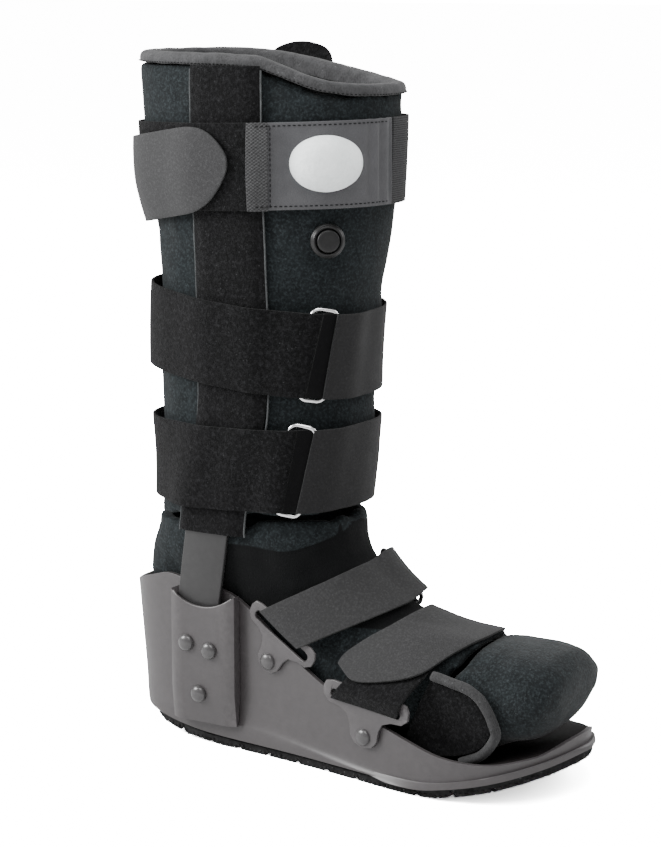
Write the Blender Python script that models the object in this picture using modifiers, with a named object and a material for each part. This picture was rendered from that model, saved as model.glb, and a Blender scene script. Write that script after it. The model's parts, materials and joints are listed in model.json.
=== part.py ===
"""Offloading boot: a tall padded walker with a rocker sole, side uprights and hook straps.

Metres, +Z up.  The toe points to +X, the wearer's right side is -Y and the floor is Z = 0.
The origin lies on the flat of the tread, in the sole's middle plane.
"""

import math

import bmesh
import bpy
import numpy as np
from mathutils import Matrix, Vector

# Driving sizes
BOOT_HEIGHT = 0.435
LEG_DEPTH = 0.180
LEG_WIDTH = 0.114
RIM_DROP = 0.0177
INSTEP_HEIGHT = 0.1215
SOLE_LENGTH = 0.300
SOLE_WIDTH = 0.117
HEEL_X = -0.5233 * SOLE_LENGTH
LEG_CENTRE_X = -0.2533 * SOLE_LENGTH

LINER_WALL = 0.009
LINER_CLEAR = 0.0042
BINDING_RADIUS = 0.0034

OUTSOLE_THICKNESS = 0.0048
SHELL_FOOT = 0.004
TREAD_DEPTH = 0.0022
TREAD_GROOVE = 0.0035
TREAD_PITCH = 0.023
HEEL_SPRING = 0.009
TOE_SPRING = 0.021

SHELL_WALL = 0.003
CUP_LEAN = 0.016
LEDGE_STEP = 0.0025
LEDGE_FALL = 0.00125
FOOTBED_THICKNESS = 0.0055

BAR_WIDTH = 0.031
BAR_THICKNESS = 0.003
BAR_FOOT_X = LEG_CENTRE_X - 0.0245
BAR_TOP_X = LEG_CENTRE_X + 0.007
FAR_BAR_TOP_X = LEG_CENTRE_X - 0.015
SHELL_HEIGHT = 0.104
CHANNEL_LENGTH = 0.047
CHANNEL_DEPTH = 0.0075
CHANNEL_TOP = SHELL_HEIGHT - 0.003
CHANNEL_BOTTOM = 0.017
CHANNEL_DIP = 0.009
BAR_FOOT_Z = CHANNEL_BOTTOM + 0.012

RIVET_RADIUS = 0.0052
RIVET_HEIGHT = 0.0028
BRACKET_THICKNESS = 0.002
SLOT_HEIGHT = 0.006

SLEEVE_WIDTH = 0.0475
SLEEVE_THICKNESS = 0.0016
SLEEVE_LEAD = 0.0035
SLEEVE_TAB_RISE = 0.012

STRAP_WIDTH = 0.052
STRAP_THICKNESS = 0.0019
TAB_THICKNESS = 0.0014
RING_WIRE = 0.0015
RING_WIDTH = 0.019
RING_CORNER = 0.005
STRAP_RISE = 0.0057
STRAP_LOOSE = 0.0022
RISE_TURN = 12.0

POCKET_THICKNESS = 0.0028
WINDOW_LENGTH = 0.051
WINDOW_HEIGHT = 0.038
BULB_RISE = 0.0115
VALVE_RADIUS = 0.0105
VALVE_HEIGHT = 0.0032
BUTTON_RADIUS = 0.0068
BUTTON_PROUD = 0.0012
BUTTON_TRAVEL = 0.0016

GAP = 0.0004
LAY = 0.0008
LINER_HEIGHT = BOOT_HEIGHT - 2.0 * BINDING_RADIUS - GAP

# Resolution of the soft forms
RING_POINTS = 28
BAND_LINES = 12
BAND_ROWS = 2
SOLE_COLUMNS = 22

# Padded body, from the rim of the leg down to the toe.  Each row is one slanting section:
# its front or top end, its back or bottom end and its half width.  An x is measured from
# the middle of the leg and the half width is a share of the leg's width.
# columns: front x, front z, back x, back z, half width
# Rows of the leg: x as shares of the leg's depth, z as shares of the liner's height
LEG_ROWS = (
    (0.478, 1.000, -0.463, 1.000, 0.500),
    (0.475, 0.920, -0.458, 0.920, 0.497),
    (0.462, 0.805, -0.438, 0.808, 0.487),
    (0.427, 0.725, -0.397, 0.724, 0.470),
    (0.390, 0.626, -0.410, 0.620, 0.455),
    (0.385, 0.510, -0.410, 0.500, 0.438),
    (0.370, 0.418, -0.393, 0.394, 0.418),
    (0.358, 0.365, -0.427, 0.332, 0.400),
)
# Rows of the foot: x as shares of the sole's length, z as shares of the instep's height
FOOT_ROWS = (
    (0.224, 1.120, -0.288, 0.972, 0.378),
    (0.252, 1.000, -0.298, 0.792, 0.352),
    (0.285, 0.922, -0.298, 0.511, 0.330),
    (0.328, 0.852, -0.268, 0.246, 0.316),
    (0.371, 0.799, -0.163, 0.116, 0.312),
    (0.413, 0.761, -0.013, 0.116, 0.335),
    (0.453, 0.736, 0.153, 0.116, 0.372),
    (0.500, 0.725, 0.320, 0.116, 0.395),
    (0.547, 0.722, 0.460, 0.123, 0.395),
    (0.602, 0.715, 0.557, 0.183, 0.395),
    (0.655, 0.676, 0.627, 0.225, 0.385),
    (0.697, 0.592, 0.679, 0.282, 0.350),
    (0.712, 0.511, 0.709, 0.370, 0.240),
)
BODY_POWER = 2.45
LEG_END = 7.0
FOOT_END = 15.6
TOE_END = 20.0
ROW_GAP = 0.04

# Plan of the sole: station along the length from the heel, half width, both as shares
SOLE_PLAN = (
    (0.000, 0.000),
    (0.008, 0.110),
    (0.035, 0.205),
    (0.080, 0.270),
    (0.150, 0.315),
    (0.257, 0.335),
    (0.420, 0.376),
    (0.567, 0.436),
    (0.700, 0.492),
    (0.782, 0.498),
    (0.850, 0.462),
    (0.908, 0.390),
    (0.955, 0.285),
    (0.985, 0.160),
    (1.000, 0.000),
)

# Upright: height as a share of the liner's, way forward from its foot to its top
BAR_BEND = ((0.070, 0.00), (0.235, 0.04), (0.335, 0.27), (0.390, 0.42), (0.515, 0.96),
            (0.600, 1.00), (0.950, 1.00))
SLEEVE_FOOT = 0.328
BAR_CLEAR = SLEEVE_FOOT + 0.017
BAR_END = 0.905

# Rivets on a channel cover: place along it from the upright's middle and height, as shares
# of the cover's length and of the shell's height
CHANNEL_RIVETS = ((-0.142, 0.654), (0.218, 0.625), (0.048, 0.346))

# Strap brackets: kind, middle of the slot as shares of the sole's length from the leg's
# middle and of the shell's height, slope in degrees and length
BRACKETS = (
    ("instep", (0.1233, 0.7837), -30.0, 0.056),
    ("toe", (0.3417, 0.4952), -4.0, 0.066),
)
SLOT_SHARE = 0.82

# Outline of a bracket: shares of half its length and of its height, from the slot's middle
BRACKET_OUTLINE = (
    (-1.00, 0.20), (-0.94, 0.44), (-0.78, 0.52), (0.78, 0.52), (0.94, 0.44), (1.00, 0.20),
    (0.99, -0.14), (0.86, -0.38), (0.62, -0.44), (0.42, -0.62), (0.34, -0.95),
    (0.31, -1.42), (0.20, -1.70), (0.0, -1.80), (-0.20, -1.70), (-0.31, -1.42),
    (-0.34, -0.95), (-0.42, -0.62), (-0.62, -0.44), (-0.86, -0.38), (-0.99, -0.14),
)
RIVET_DROP = 0.021
BRACKET_HEIGHT = 0.0155

# Leg straps: lower edge at the leg's middle as a share of the liner's height, lean in degrees
TOP_STRAP = (0.7983, 2.0)
MID_STRAP = (0.5482, -5.0)
LOW_STRAP = (0.3682, 1.5)

# Foot straps: planes at the back and front edges, as shares of the sole's length from the
# leg's middle and of the instep's height, with a lean in degrees
INSTEP_PLANES = ((0.1033, 0.823, 28.9), (0.200, 0.6634, 26.0))
TOE_PLANES = ((0.1733, 0.4444, 37.0), (0.350, 0.4074, 36.0))
TOE_LOOP_PLANES = ((0.2567, 0.4239, 48.0), (0.4267, 0.409, 66.0))

# Pump and valve: heights as shares of the liner's height and angles in degrees round the leg
BULB_Z = 0.8661 * LINER_HEIGHT
BULB_ANGLE = -33.0
BULB_TURN = 17.0
VALVE_Z = 0.7597 * LINER_HEIGHT
VALVE_ANGLE = -31.0

# Side flap beside the toe
FLAP_BACK_X = LEG_CENTRE_X + 0.3867 * SOLE_LENGTH
FLAP_FRONT_X = LEG_CENTRE_X + 0.6 * SOLE_LENGTH
FLAP_TOP = 0.56 * INSTEP_HEIGHT
FLAP_THICKNESS = 0.0035

# Shell rim: station along the length, height as a share of the shell's height
SHELL_RIM = (
    (0.000, 0.900),
    (0.050, 0.990),
    (0.095, 1.040),
    (0.150, 1.000),
    (0.290, 0.985),
    (0.325, 0.870),
    (0.370, 0.745),
    (0.430, 0.625),
    (0.500, 0.520),
    (0.640, 0.375),
    (0.720, 0.310),
    (0.800, 0.250),
    (0.880, 0.237),
    (0.950, 0.275),
    (1.000, 0.360),
)


def smooth(value):
    """Blend from 0 to 1 with level ends."""
    value = min(max(value, 0.0), 1.0)
    return value * value * (3.0 - 2.0 * value)


def curve_at(rows, t):
    """Catmull-Rom value of a table of number rows at row position t."""
    rows = np.asarray(rows, dtype=float)
    last = len(rows) - 1
    t = min(max(t, 0.0), float(last))
    i = min(int(t), last - 1)
    f = t - i
    before = rows[max(i - 1, 0)]
    start, end = rows[i], rows[i + 1]
    after = rows[min(i + 2, last)]
    m0, m1 = (end - before) / 2.0, (after - start) / 2.0
    h = 1.0 - f
    return (start * h * h * (1.0 + 2.0 * f) + m0 * f * h * h
            + end * f * f * (3.0 - 2.0 * f) - m1 * f * f * h)


def value_at(rows, position):
    """Smooth value of a two-column table at a place in its first column."""
    for i in range(len(rows) - 1):
        if position <= rows[i + 1][0] or i == len(rows) - 2:
            span = rows[i + 1][0] - rows[i][0]
            f = min(max((position - rows[i][0]) / span, 0.0), 1.0)
            return rows[i][1] + (rows[i + 1][1] - rows[i][1]) * smooth(f)
    return rows[-1][1]


# Scene helpers

def clear_scene():
    """Remove what the start file holds."""
    for thing in list(bpy.data.objects):
        bpy.data.objects.remove(thing, do_unlink=True)


def new_collection(name):
    """Make a collection in the scene."""
    group = bpy.data.collections.new(name)
    bpy.context.scene.collection.children.link(group)
    return group


def make_material(name, colour, roughness, metallic=0.0):
    """Principled material."""
    material = bpy.data.materials.new(name)
    material.use_nodes = True
    shader = material.node_tree.nodes["Principled BSDF"]
    shader.inputs["Base Color"].default_value = (*colour, 1.0)
    shader.inputs["Roughness"].default_value = roughness
    shader.inputs["Metallic"].default_value = metallic
    return material


def add_mesh(name, points, faces, material, group=None, merge=1e-6):
    """Make an object from points and faces, with outward normals where it is closed."""
    mesh = bpy.data.meshes.new(name)
    mesh.from_pydata([tuple(p) for p in points], [], faces)
    work = bmesh.new()
    work.from_mesh(mesh)
    bmesh.ops.remove_doubles(work, verts=work.verts, dist=merge)
    bmesh.ops.recalc_face_normals(work, faces=work.faces)
    work.to_mesh(mesh)
    work.free()
    return add_object(name, mesh, material, group)


def add_object(name, mesh, material, group=None):
    """Link a mesh as an object of the boot."""
    if material is not None:
        mesh.materials.append(material)
    thing = bpy.data.objects.new(name, mesh)
    (group or PARTS).objects.link(thing)
    return thing


def shade(thing, degrees=40.0):
    """Shade smooth with sharp edges kept."""
    thing.data.shade_smooth()
    thing.data.set_sharp_from_angle(angle=math.radians(degrees))
    return thing


def thicken(thing, thickness, offset, even=True):
    """Give an open surface its thickness."""
    solid = thing.modifiers.new("Solidify", "SOLIDIFY")
    solid.thickness = thickness
    solid.offset = offset
    solid.use_even_offset = even
    solid.use_quality_normals = True
    return thing


def round_edges(thing, width, segments=2, degrees=40.0):
    """Bevel the edges that are sharper than an angle."""
    bevel = thing.modifiers.new("Bevel", "BEVEL")
    bevel.width = width
    bevel.segments = segments
    bevel.limit_method = "ANGLE"
    bevel.angle_limit = math.radians(degrees)
    return thing


def grid_faces(rows, columns, closed=False):
    """Quads of a grid of points, stored row by row."""
    faces = []
    for i in range(rows - 1):
        for j in range(columns if closed else columns - 1):
            k = (j + 1) % columns
            faces.append((i * columns + j, i * columns + k,
                          (i + 1) * columns + k, (i + 1) * columns + j))
    return faces


def cut(thing, cutter):
    """Take a cutter's shape out of an object."""
    difference = thing.modifiers.new("Cut", "BOOLEAN")
    difference.operation = "DIFFERENCE"
    difference.object = cutter
    return thing


def add_cutter(name, points, faces):
    """Closed cutter, kept out of the model."""
    thing = add_mesh(name, points, faces, None, CUTTERS)
    thing.hide_render = True
    thing.display_type = "WIRE"
    return thing


def box_mesh(low, high):
    """Points and faces of a box between two corners."""
    (x0, y0, z0), (x1, y1, z1) = low, high
    points = [(x, y, z) for z in (z0, z1) for y in (y0, y1) for x in (x0, x1)]
    faces = [(0, 2, 3, 1), (4, 5, 7, 6), (0, 1, 5, 4), (2, 6, 7, 3), (0, 4, 6, 2), (1, 3, 7, 5)]
    return points, faces


# Sole and shell forms

def rocker(x):
    """Height of the tread's face above the floor at a place along the sole."""
    flat_back = HEEL_X + 0.245 * SOLE_LENGTH
    flat_front = HEEL_X + 0.717 * SOLE_LENGTH
    if x < flat_back:
        return HEEL_SPRING * ((flat_back - x) / (flat_back - HEEL_X)) ** 1.7
    if x > flat_front:
        return TOE_SPRING * ((x - flat_front) / (HEEL_X + SOLE_LENGTH - flat_front)) ** 1.6
    return 0.0


def plan_point(t):
    """Point of the near half of the sole's outline, heel to toe, with its share of length."""
    share, half = curve_at(SOLE_PLAN, t)
    share = min(max(share, 0.0), 1.0)
    return HEEL_X + share * SOLE_LENGTH, max(half, 0.0) * SOLE_WIDTH, share


def spine_x(x):
    """Place on the sole's middle line that an outline point is drawn towards."""
    return min(max(x, HEEL_X + 0.125 * SOLE_LENGTH), HEEL_X + 0.82 * SOLE_LENGTH)


def shell_bottom(x):
    """Height of the shell's underside."""
    return rocker(x) + OUTSOLE_THICKNESS + GAP


def rim_height(share):
    """Height of the shell's rim."""
    return value_at(SHELL_RIM, share) * SHELL_HEIGHT


def ledge_height(share, x):
    """Height of the ledge line above the shell's underside."""
    return shell_bottom(x) + 0.0025 + 0.0125 * smooth((0.72 - share) / 0.5)


def outward(t):
    """Outline point of the near half, its outward direction and its share of length."""
    x, half, share = plan_point(t)
    middle = spine_x(x)
    direction = np.array((x - middle, -half))
    length = float(np.hypot(*direction))
    return np.array((x, -half)), direction / max(length, 1e-9), share


def wall_step(direction, rise):
    """How far the wall stands out of the outline at a share of its height."""
    back = max(-direction[0], 0.0) ** 2
    front = max(direction[0], 0.0) ** 2
    lean = CUP_LEAN * back * (0.52 + 0.48 * rise)
    side = 0.0026 * (1.0 - back) * (1.0 - 0.4 * front) * (0.7 + 0.3 * rise)
    return lean + side


def wall_place(t, z):
    """Point of the shell's outer wall at an outline position and a height."""
    point, direction, share = outward(t)
    bottom, top, ledge = shell_bottom(point[0]), rim_height(share), ledge_height(share, point[0])
    rise = min(max((z - bottom) / max(top - bottom, 1e-6), 0.0), 1.0)
    heel = max(-direction[0], 0.0) ** 2
    under = min(max((ledge + LEDGE_FALL - z) / (2.0 * LEDGE_FALL), 0.0), 1.0)
    step = LEDGE_STEP * (1.0 - heel) * under
    return point + direction * (wall_step(direction, rise) + step)


def shell_half_width(x, z):
    """Half width of the shell's outer wall at a place, for pieces that lie on it."""
    low, high = 0.0, float(len(SOLE_PLAN) - 1)
    for _ in range(40):
        middle = (low + high) / 2.0
        place = wall_place(middle, z)
        if place[0] < x:
            low = middle
        else:
            high = middle
    return -place[1]


def shell_columns():
    """Outline positions of the shell's columns, closer together at both ends."""
    last = len(SOLE_PLAN) - 1
    return [last * k / SOLE_COLUMNS for k in range(SOLE_COLUMNS + 1)]


def build_shell(material):
    """Moulded trough: floor, rounded foot, ledge and leaning walls."""
    rows = []
    for t in shell_columns():
        point, direction, share = outward(t)
        middle = np.array((spine_x(point[0]), 0.0))
        bottom, top = shell_bottom(point[0]), rim_height(share)
        ledge = ledge_height(share, point[0])
        reach = max(float(np.hypot(*(point - middle))), SHELL_FOOT * 2.0)
        row = []
        for part in (0.0, 0.5, 1.0 - SHELL_FOOT / reach):
            place = middle + (point - middle) * part
            row.append((place[0], place[1], shell_bottom(place[0])))
        heights = (bottom + SHELL_FOOT * 0.55, ledge - LEDGE_FALL, ledge + LEDGE_FALL,
                   (ledge + top) / 2.0, top)
        row += [(*wall_place(t, z), z) for z in heights]
        rows.append(row)
    points = [p for row in rows for p in row]
    shell = add_mesh("foot_shell", points, grid_faces(len(rows), len(rows[0])), material,
                     merge=1e-5)
    face_down(shell)
    mirror_far(shell)
    thicken(shell, SHELL_WALL, -1.0, even=False)
    return shade(shell, 35.0)


def mirror_far(thing):
    """Add the far half of a near half."""
    mirror = thing.modifiers.new("Mirror", "MIRROR")
    mirror.use_axis = (False, True, False)
    mirror.use_clip = True
    mirror.merge_threshold = 0.0001


def face_down(thing):
    """Turn an open surface's faces so that those of its floor look down."""
    floor = min(thing.data.polygons, key=lambda face: face.center.z)
    if floor.normal.z > 0.0:
        thing.data.flip_normals()


def build_outsole(material):
    """Rocker outsole with tread grooves across it."""
    rows = []
    for t in shell_columns():
        point, _, _ = outward(t)
        middle = np.array((spine_x(point[0]), 0.0))
        row = []
        for part in (0.0, 0.6, 0.995):
            place = middle + (point - middle) * part
            row.append((place[0], place[1], rocker(place[0]) + OUTSOLE_THICKNESS))
        rows.append(row)
    points = [p for row in rows for p in row]
    outsole = add_mesh("outsole", points, grid_faces(len(rows), len(rows[0])), material,
                       merge=1e-5)
    if outsole.data.polygons[len(outsole.data.polygons) // 2].normal.z < 0.0:
        outsole.data.flip_normals()
    mirror_far(outsole)
    thicken(outsole, OUTSOLE_THICKNESS, -1.0, even=False)
    cut(outsole, tread_cutter())
    return shade(outsole, 35.0)


def tread_cutter():
    """Bars across the sole, one for each groove."""
    points, faces = [], []
    count = int((SOLE_LENGTH - 2.0 * TREAD_PITCH) / TREAD_PITCH)
    for i in range(count):
        x = HEEL_X + TREAD_PITCH * (i + 1.5)
        top = rocker(x) + TREAD_DEPTH
        bar, quads = box_mesh((x - TREAD_GROOVE / 2, -SOLE_WIDTH, top - 0.02),
                              (x + TREAD_GROOVE / 2, SOLE_WIDTH, top))
        faces += [tuple(v + len(points) for v in quad) for quad in quads]
        points += bar
    return add_cutter("tread_grooves", points, faces)


def build_footbed(material):
    """Flat pad on the shell's floor."""
    rows = []
    inset = SHELL_WALL + 0.0045
    for t in shell_columns():
        point, _, _ = outward(t)
        middle = np.array((spine_x(point[0]), 0.0))
        reach = float(np.hypot(*(point - middle)))
        row = []
        for part in (0.0, 1.0):
            place = middle + (point - middle) * part * (reach - inset) / reach
            z = shell_bottom(place[0]) + SHELL_WALL + GAP * 1.5
            row.append((place[0], place[1], z))
        rows.append(row)
    points = [p for row in rows for p in row]
    bed = add_mesh("footbed", points, grid_faces(len(rows), 2), material, merge=1e-5)
    if bed.data.polygons[len(bed.data.polygons) // 2].normal.z < 0.0:
        bed.data.flip_normals()
    mirror_far(bed)
    thicken(bed, FOOTBED_THICKNESS, 1.0)
    return shade(bed, 35.0)


# Padded body

def body_rows():
    """Rows of the body's table in metres."""
    rows = [(fx * LEG_DEPTH, fz * LINER_HEIGHT, bx * LEG_DEPTH, bz * LINER_HEIGHT, half)
            for fx, fz, bx, bz, half in LEG_ROWS]
    rows += [(fx * SOLE_LENGTH, fz * INSTEP_HEIGHT, bx * SOLE_LENGTH, bz * INSTEP_HEIGHT, half)
             for fx, fz, bx, bz, half in FOOT_ROWS]
    return np.array([(LEG_CENTRE_X + fx, fz, LEG_CENTRE_X + bx, bz, half * LEG_WIDTH)
                     for fx, fz, bx, bz, half in rows])


def body_row(t):
    """Section of the padded body: front end, back end and half width."""
    fx, fz, bx, bz, half = curve_at(BODY, t)
    return np.array((fx, fz)), np.array((bx, bz)), half


def rim_fall(x, y):
    """How far the rim lies below the boot's full height: a step near, a slope far."""
    share = (x - LEG_CENTRE_X) / (LEG_DEPTH / 2.0)
    near = min(max(0.5 - y / LEG_WIDTH, 0.0), 1.0)
    step = 0.6 * smooth((share - 0.2) / 0.5) + 0.4 * smooth((share - 0.3) / 0.65)
    slope = smooth((share + 0.6) / 1.5)
    return RIM_DROP * (near * step + (1.0 - near) * slope)


def body_point(t, angle, inset=0.0):
    """Point of the padded body's surface, moved inwards by an inset."""
    front, back, half = body_row(t)
    centre = (front + back) / 2.0
    axis = front - back
    length = float(np.hypot(*axis)) / 2.0
    axis = axis / (2.0 * length)
    c, s = math.cos(angle), math.sin(angle)
    power = 2.0 / BODY_POWER
    along = math.copysign(abs(c) ** power, c) * max(length - inset, 0.001)
    across = math.copysign(abs(s) ** power, s) * max(half - inset, 0.001)
    x, z = centre + axis * along
    if t < 1.0:
        z -= rim_fall(x, across) * (1.0 - t)
    return fit_in_shell(x, across, z, inset)


def fit_in_shell(x, y, z, inset):
    """Keep a point of the body clear of the shell's wall and of the footbed."""
    share = min(max((x - HEEL_X) / SOLE_LENGTH, 0.0), 1.0)
    top = rim_height(share)
    if z < top + 0.02:
        limit = shell_half_width(x, min(z, top)) - SHELL_WALL - LINER_CLEAR - inset
        limit += max(z - top, 0.0) * 0.6
        y = math.copysign(min(abs(y), max(limit, 0.002)), y)
    floor = shell_bottom(x) + SHELL_WALL + FOOTBED_THICKNESS + 4.0 * GAP + inset * 0.8
    return np.array((x, y, max(z, floor)))


def body_grid(start, end, steps, inset=0.0, points=RING_POINTS):
    """Rings of surface points between two rows of the body's table."""
    grid = []
    for i in range(steps + 1):
        t = start + (end - start) * i / steps
        grid.append([body_point(t, 2.0 * math.pi * j / points, inset) for j in range(points)])
    return np.array(grid)


def build_liner(name, start, end, steps, material, closed=False, inner_end=None):
    """Padded wall: an outer and an inner surface joined at the open ends."""
    outer = body_grid(start, end, steps)
    inner = body_grid(start, end if inner_end is None else inner_end, steps, LINER_WALL)
    count = RING_POINTS
    rings = steps + 1
    points = [p for ring in outer for p in ring] + [p for ring in inner for p in ring]
    base = rings * count
    faces = grid_faces(rings, count, closed=True)
    faces += [tuple(reversed([v + base for v in quad])) for quad in grid_faces(rings, count, True)]
    for j in range(count):
        k = (j + 1) % count
        faces.append((k, j, base + j, base + k))
        if not closed:
            last = (rings - 1) * count
            faces.append((last + j, last + k, base + last + k, base + last + j))
    if closed:
        last = (rings - 1) * count
        for first, turn in ((last, 1), (base + last, -1)):
            middle = np.mean(points[first:first + count], axis=0)
            points.append(middle)
            for j in range(count):
                k = (j + 1) % count
                faces.append((first + j, first + k, len(points) - 1)[::turn])
    return shade(add_mesh(name, points, faces, material), 50.0)


# Bands drawn tight round the body

def hull(points):
    """Convex outline of points in a plane, anticlockwise."""
    points = sorted(set((round(a, 7), round(b, 7)) for a, b in points))

    def chain(ordered):
        line = []
        for p in ordered:
            while len(line) > 1 and ((line[-1][0] - line[-2][0]) * (p[1] - line[-2][1])
                                     - (line[-1][1] - line[-2][1]) * (p[0] - line[-2][0])) <= 0.0:
                line.pop()
            line.append(p)
        return line[:-1]

    return chain(points) + chain(points[::-1])


def crossing(grids, origin, normal):
    """Where the lines of surface grids, both ways, cross a plane."""
    found = []
    for grid in grids:
        side = (grid - origin) @ normal
        for points, sides in ((grid, side), (grid.transpose(1, 0, 2), side.T)):
            for i in range(len(points) - 1):
                a, b = sides[i], sides[i + 1]
                for j in np.nonzero((a < 0.0) != (b < 0.0))[0]:
                    f = a[j] / (a[j] - b[j])
                    found.append(points[i][j] + (points[i + 1][j] - points[i][j]) * f)
    return found


def taut_line(grids, origin, lean, angles, lift):
    """Points of a taut loop round the body in a plane that leans along X.

    The plane holds the Y axis and a line that rises by the lean from the back to the front.
    An angle of 0 is the front or top, -90 degrees the near side and 180 the back.
    """
    along = np.array((math.cos(lean), 0.0, math.sin(lean)))
    across = np.array((0.0, 1.0, 0.0))
    origin = np.asarray(origin, dtype=float)
    found = crossing(grids, origin, np.cross(along, across))
    flat = [((p - origin) @ along, (p - origin) @ across) for p in found]
    spread = []
    for a, b in flat:
        for k in range(8):
            turn = math.pi * k / 4.0
            spread.append((a + lift * math.cos(turn), b + lift * math.sin(turn)))
    outline = np.array(hull(spread))
    line = clear_line(outline, np.array([ray_to_outline(outline, angle) for angle in angles]))
    return [origin + along * a + across * b for a, b in line]


def clear_line(outline, line):
    """Move the points of a line out until its straights clear a convex outline."""
    push = np.zeros(len(line))
    for i in range(len(line) - 1):
        a, b = line[i], line[i + 1]
        normal = np.array((b[1] - a[1], a[0] - b[0]))
        normal = normal / max(float(np.hypot(*normal)), 1e-9)
        if normal @ a < 0.0:
            normal = -normal
        over = float(np.max((outline - a) @ normal))
        for k in (i, i + 1):
            facing = max(float(normal @ line[k]) / float(np.hypot(*line[k])), 0.5)
            push[k] = max(push[k], over / facing)
    return line * (1.0 + push / np.hypot(line[:, 0], line[:, 1]))[:, None]


def ray_to_outline(outline, angle):
    """Where a ray from the plane's origin leaves a convex outline."""
    dx, dy = math.cos(angle), math.sin(angle)
    best = 0.0
    for i, (ax, ay) in enumerate(outline):
        bx, by = outline[(i + 1) % len(outline)]
        ex, ey = bx - ax, by - ay
        cross = dx * ey - dy * ex
        if abs(cross) < 1e-12:
            continue
        reach = (ax * ey - ay * ex) / cross
        share = (ax * dy - ay * dx) / cross
        if -1e-9 <= share <= 1.0 + 1e-9 and reach > best:
            best = reach
    return dx * best, dy * best


def plain_edges(_share):
    """Edges of a band that is as wide all along."""
    return 0.0, 1.0


def flat_on(_share):
    """Rise of a band that lies on the body all along."""
    return 0.0


def band(name, grids, low, high, start, end, thickness, material, lift=LAY,
         edges=plain_edges, rise=flat_on, steps=16, slant=0.0):
    """Strap-like sheet that lies on the body between two leaning planes.

    low and high are (x, z, lean) of the planes at the band's two edges, and start and end
    are angles in degrees.  edges gives the band's part of the width at a share of its
    length, and rise lifts it off the body there.  slant turns the starting end, by the
    angle that its lower corner lags behind the upper one.  The sheet and the grid of its
    outer face are given back.
    """
    low, high = np.array(low, dtype=float), np.array(high, dtype=float)
    lines, centres = [], []
    for k in range(BAND_LINES + 1):
        x, z, lean = low + (high - low) * k / BAND_LINES
        lag = slant * (k / BAND_LINES - 0.5)
        angles = [math.radians(start + (end - start) * i / steps + lag * (1.0 - i / steps))
                  for i in range(steps + 1)]
        lines.append(np.array(taut_line(grids, (x, 0.0, z), math.radians(lean), angles, lift)))
        centres.append((x, 0.0, z))
    lines, centres = np.array(lines), np.array(centres)
    spine = (centres[-1] - centres[0])
    points = np.zeros((BAND_ROWS + 1, steps + 1, 3))
    away = np.zeros_like(points)
    for i in range(steps + 1):
        bottom, top = edges(i / steps)
        column = lines[:, i]
        places = [(bottom + (top - bottom) * r / BAND_ROWS) * BAND_LINES
                  for r in range(BAND_ROWS + 1)]
        for r, place in enumerate(places):
            points[r, i] = between(column, place)
            out = points[r, i] - between(centres, place)
            out -= spine * (out @ spine) / (spine @ spine)
            away[r, i] = out / np.linalg.norm(out)
        push = np.zeros(BAND_ROWS + 1)
        for r in range(BAND_ROWS):
            for k in range(math.ceil(places[r]), math.floor(places[r + 1]) + 1):
                f = (k - places[r]) / (places[r + 1] - places[r])
                over = (column[k] - points[r, i] * (1.0 - f) - points[r + 1, i] * f) @ away[r, i]
                push[r:r + 2] = np.maximum(push[r:r + 2], over)
        points[:, i] += away[:, i] * (push + rise(i / steps))[:, None]
    sheet = add_mesh(name, points.reshape(-1, 3), grid_faces(BAND_ROWS + 1, steps + 1), material)
    middle = sheet.data.polygons[steps // 2]
    if np.array(middle.normal) @ away[0, steps // 2] < 0.0:
        sheet.data.flip_normals()
    thicken(sheet, thickness, 1.0)
    return shade(sheet, 50.0), points + away * (thickness * 1.1 + GAP)


def between(rows, place):
    """Point of a line of points at a row position."""
    k = min(int(place), len(rows) - 2)
    return rows[k] + (rows[k + 1] - rows[k]) * (place - k)


def body_lines():
    """Surface grid of the whole padded body, which straps and bars are laid on."""
    return body_grid(0.0, TOE_END, 80)


def side_y(grids, x, z, lift):
    """Distance of the taut outline's near side from the middle plane, at a height."""
    found = crossing(grids, np.array((0.0, 0.0, z)), np.array((0.0, 0.0, 1.0)))
    outline = hull([(p[0], p[1]) for p in found])
    best = 0.0
    for i, (ax, ay) in enumerate(outline):
        bx, by = outline[(i + 1) % len(outline)]
        if min(ax, bx) <= x <= max(ax, bx) and abs(bx - ax) > 1e-9:
            best = min(best, ay + (by - ay) * (x - ax) / (bx - ax))
    return -best + lift


def mirrored(thing, name):
    """Copy of a near piece for the far side, with the same modifiers."""
    mesh = thing.data.copy()
    mesh.name = name
    mesh.transform(Matrix.Scale(-1.0, 4, (0.0, 1.0, 0.0)))
    mesh.flip_normals()
    twin = bpy.data.objects.new(name, mesh)
    PARTS.objects.link(twin)
    for source in thing.modifiers:
        copy = twin.modifiers.new(source.name, source.type)
        for rule in source.bl_rna.properties:
            if not rule.is_readonly and rule.identifier not in ("name", "object"):
                setattr(copy, rule.identifier, getattr(source, rule.identifier))
    return twin


# Uprights and what holds them

def bar_x(share, top_x):
    """Place along X of an upright's middle at a share of the liner's height."""
    return BAR_FOOT_X + (top_x - BAR_FOOT_X) * value_at(BAR_BEND, share)


def bar_shares():
    """Heights at which an upright leaves the shell, bends and ends, as shares."""
    return [BAR_CLEAR + (BAR_END - BAR_CLEAR) * k / 8.0 for k in range(9)]


def channel_wall():
    """Widest half width of the shell's wall under the channel cover."""
    places = [BAR_FOOT_X + CHANNEL_LENGTH * k / 4.0 for k in (-2, -1, 0, 1, 2)]
    heights = [CHANNEL_BOTTOM + (CHANNEL_TOP - CHANNEL_BOTTOM) * k / 4.0 for k in range(5)]
    return max(shell_half_width(x, z) for x in places for z in heights)


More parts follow.
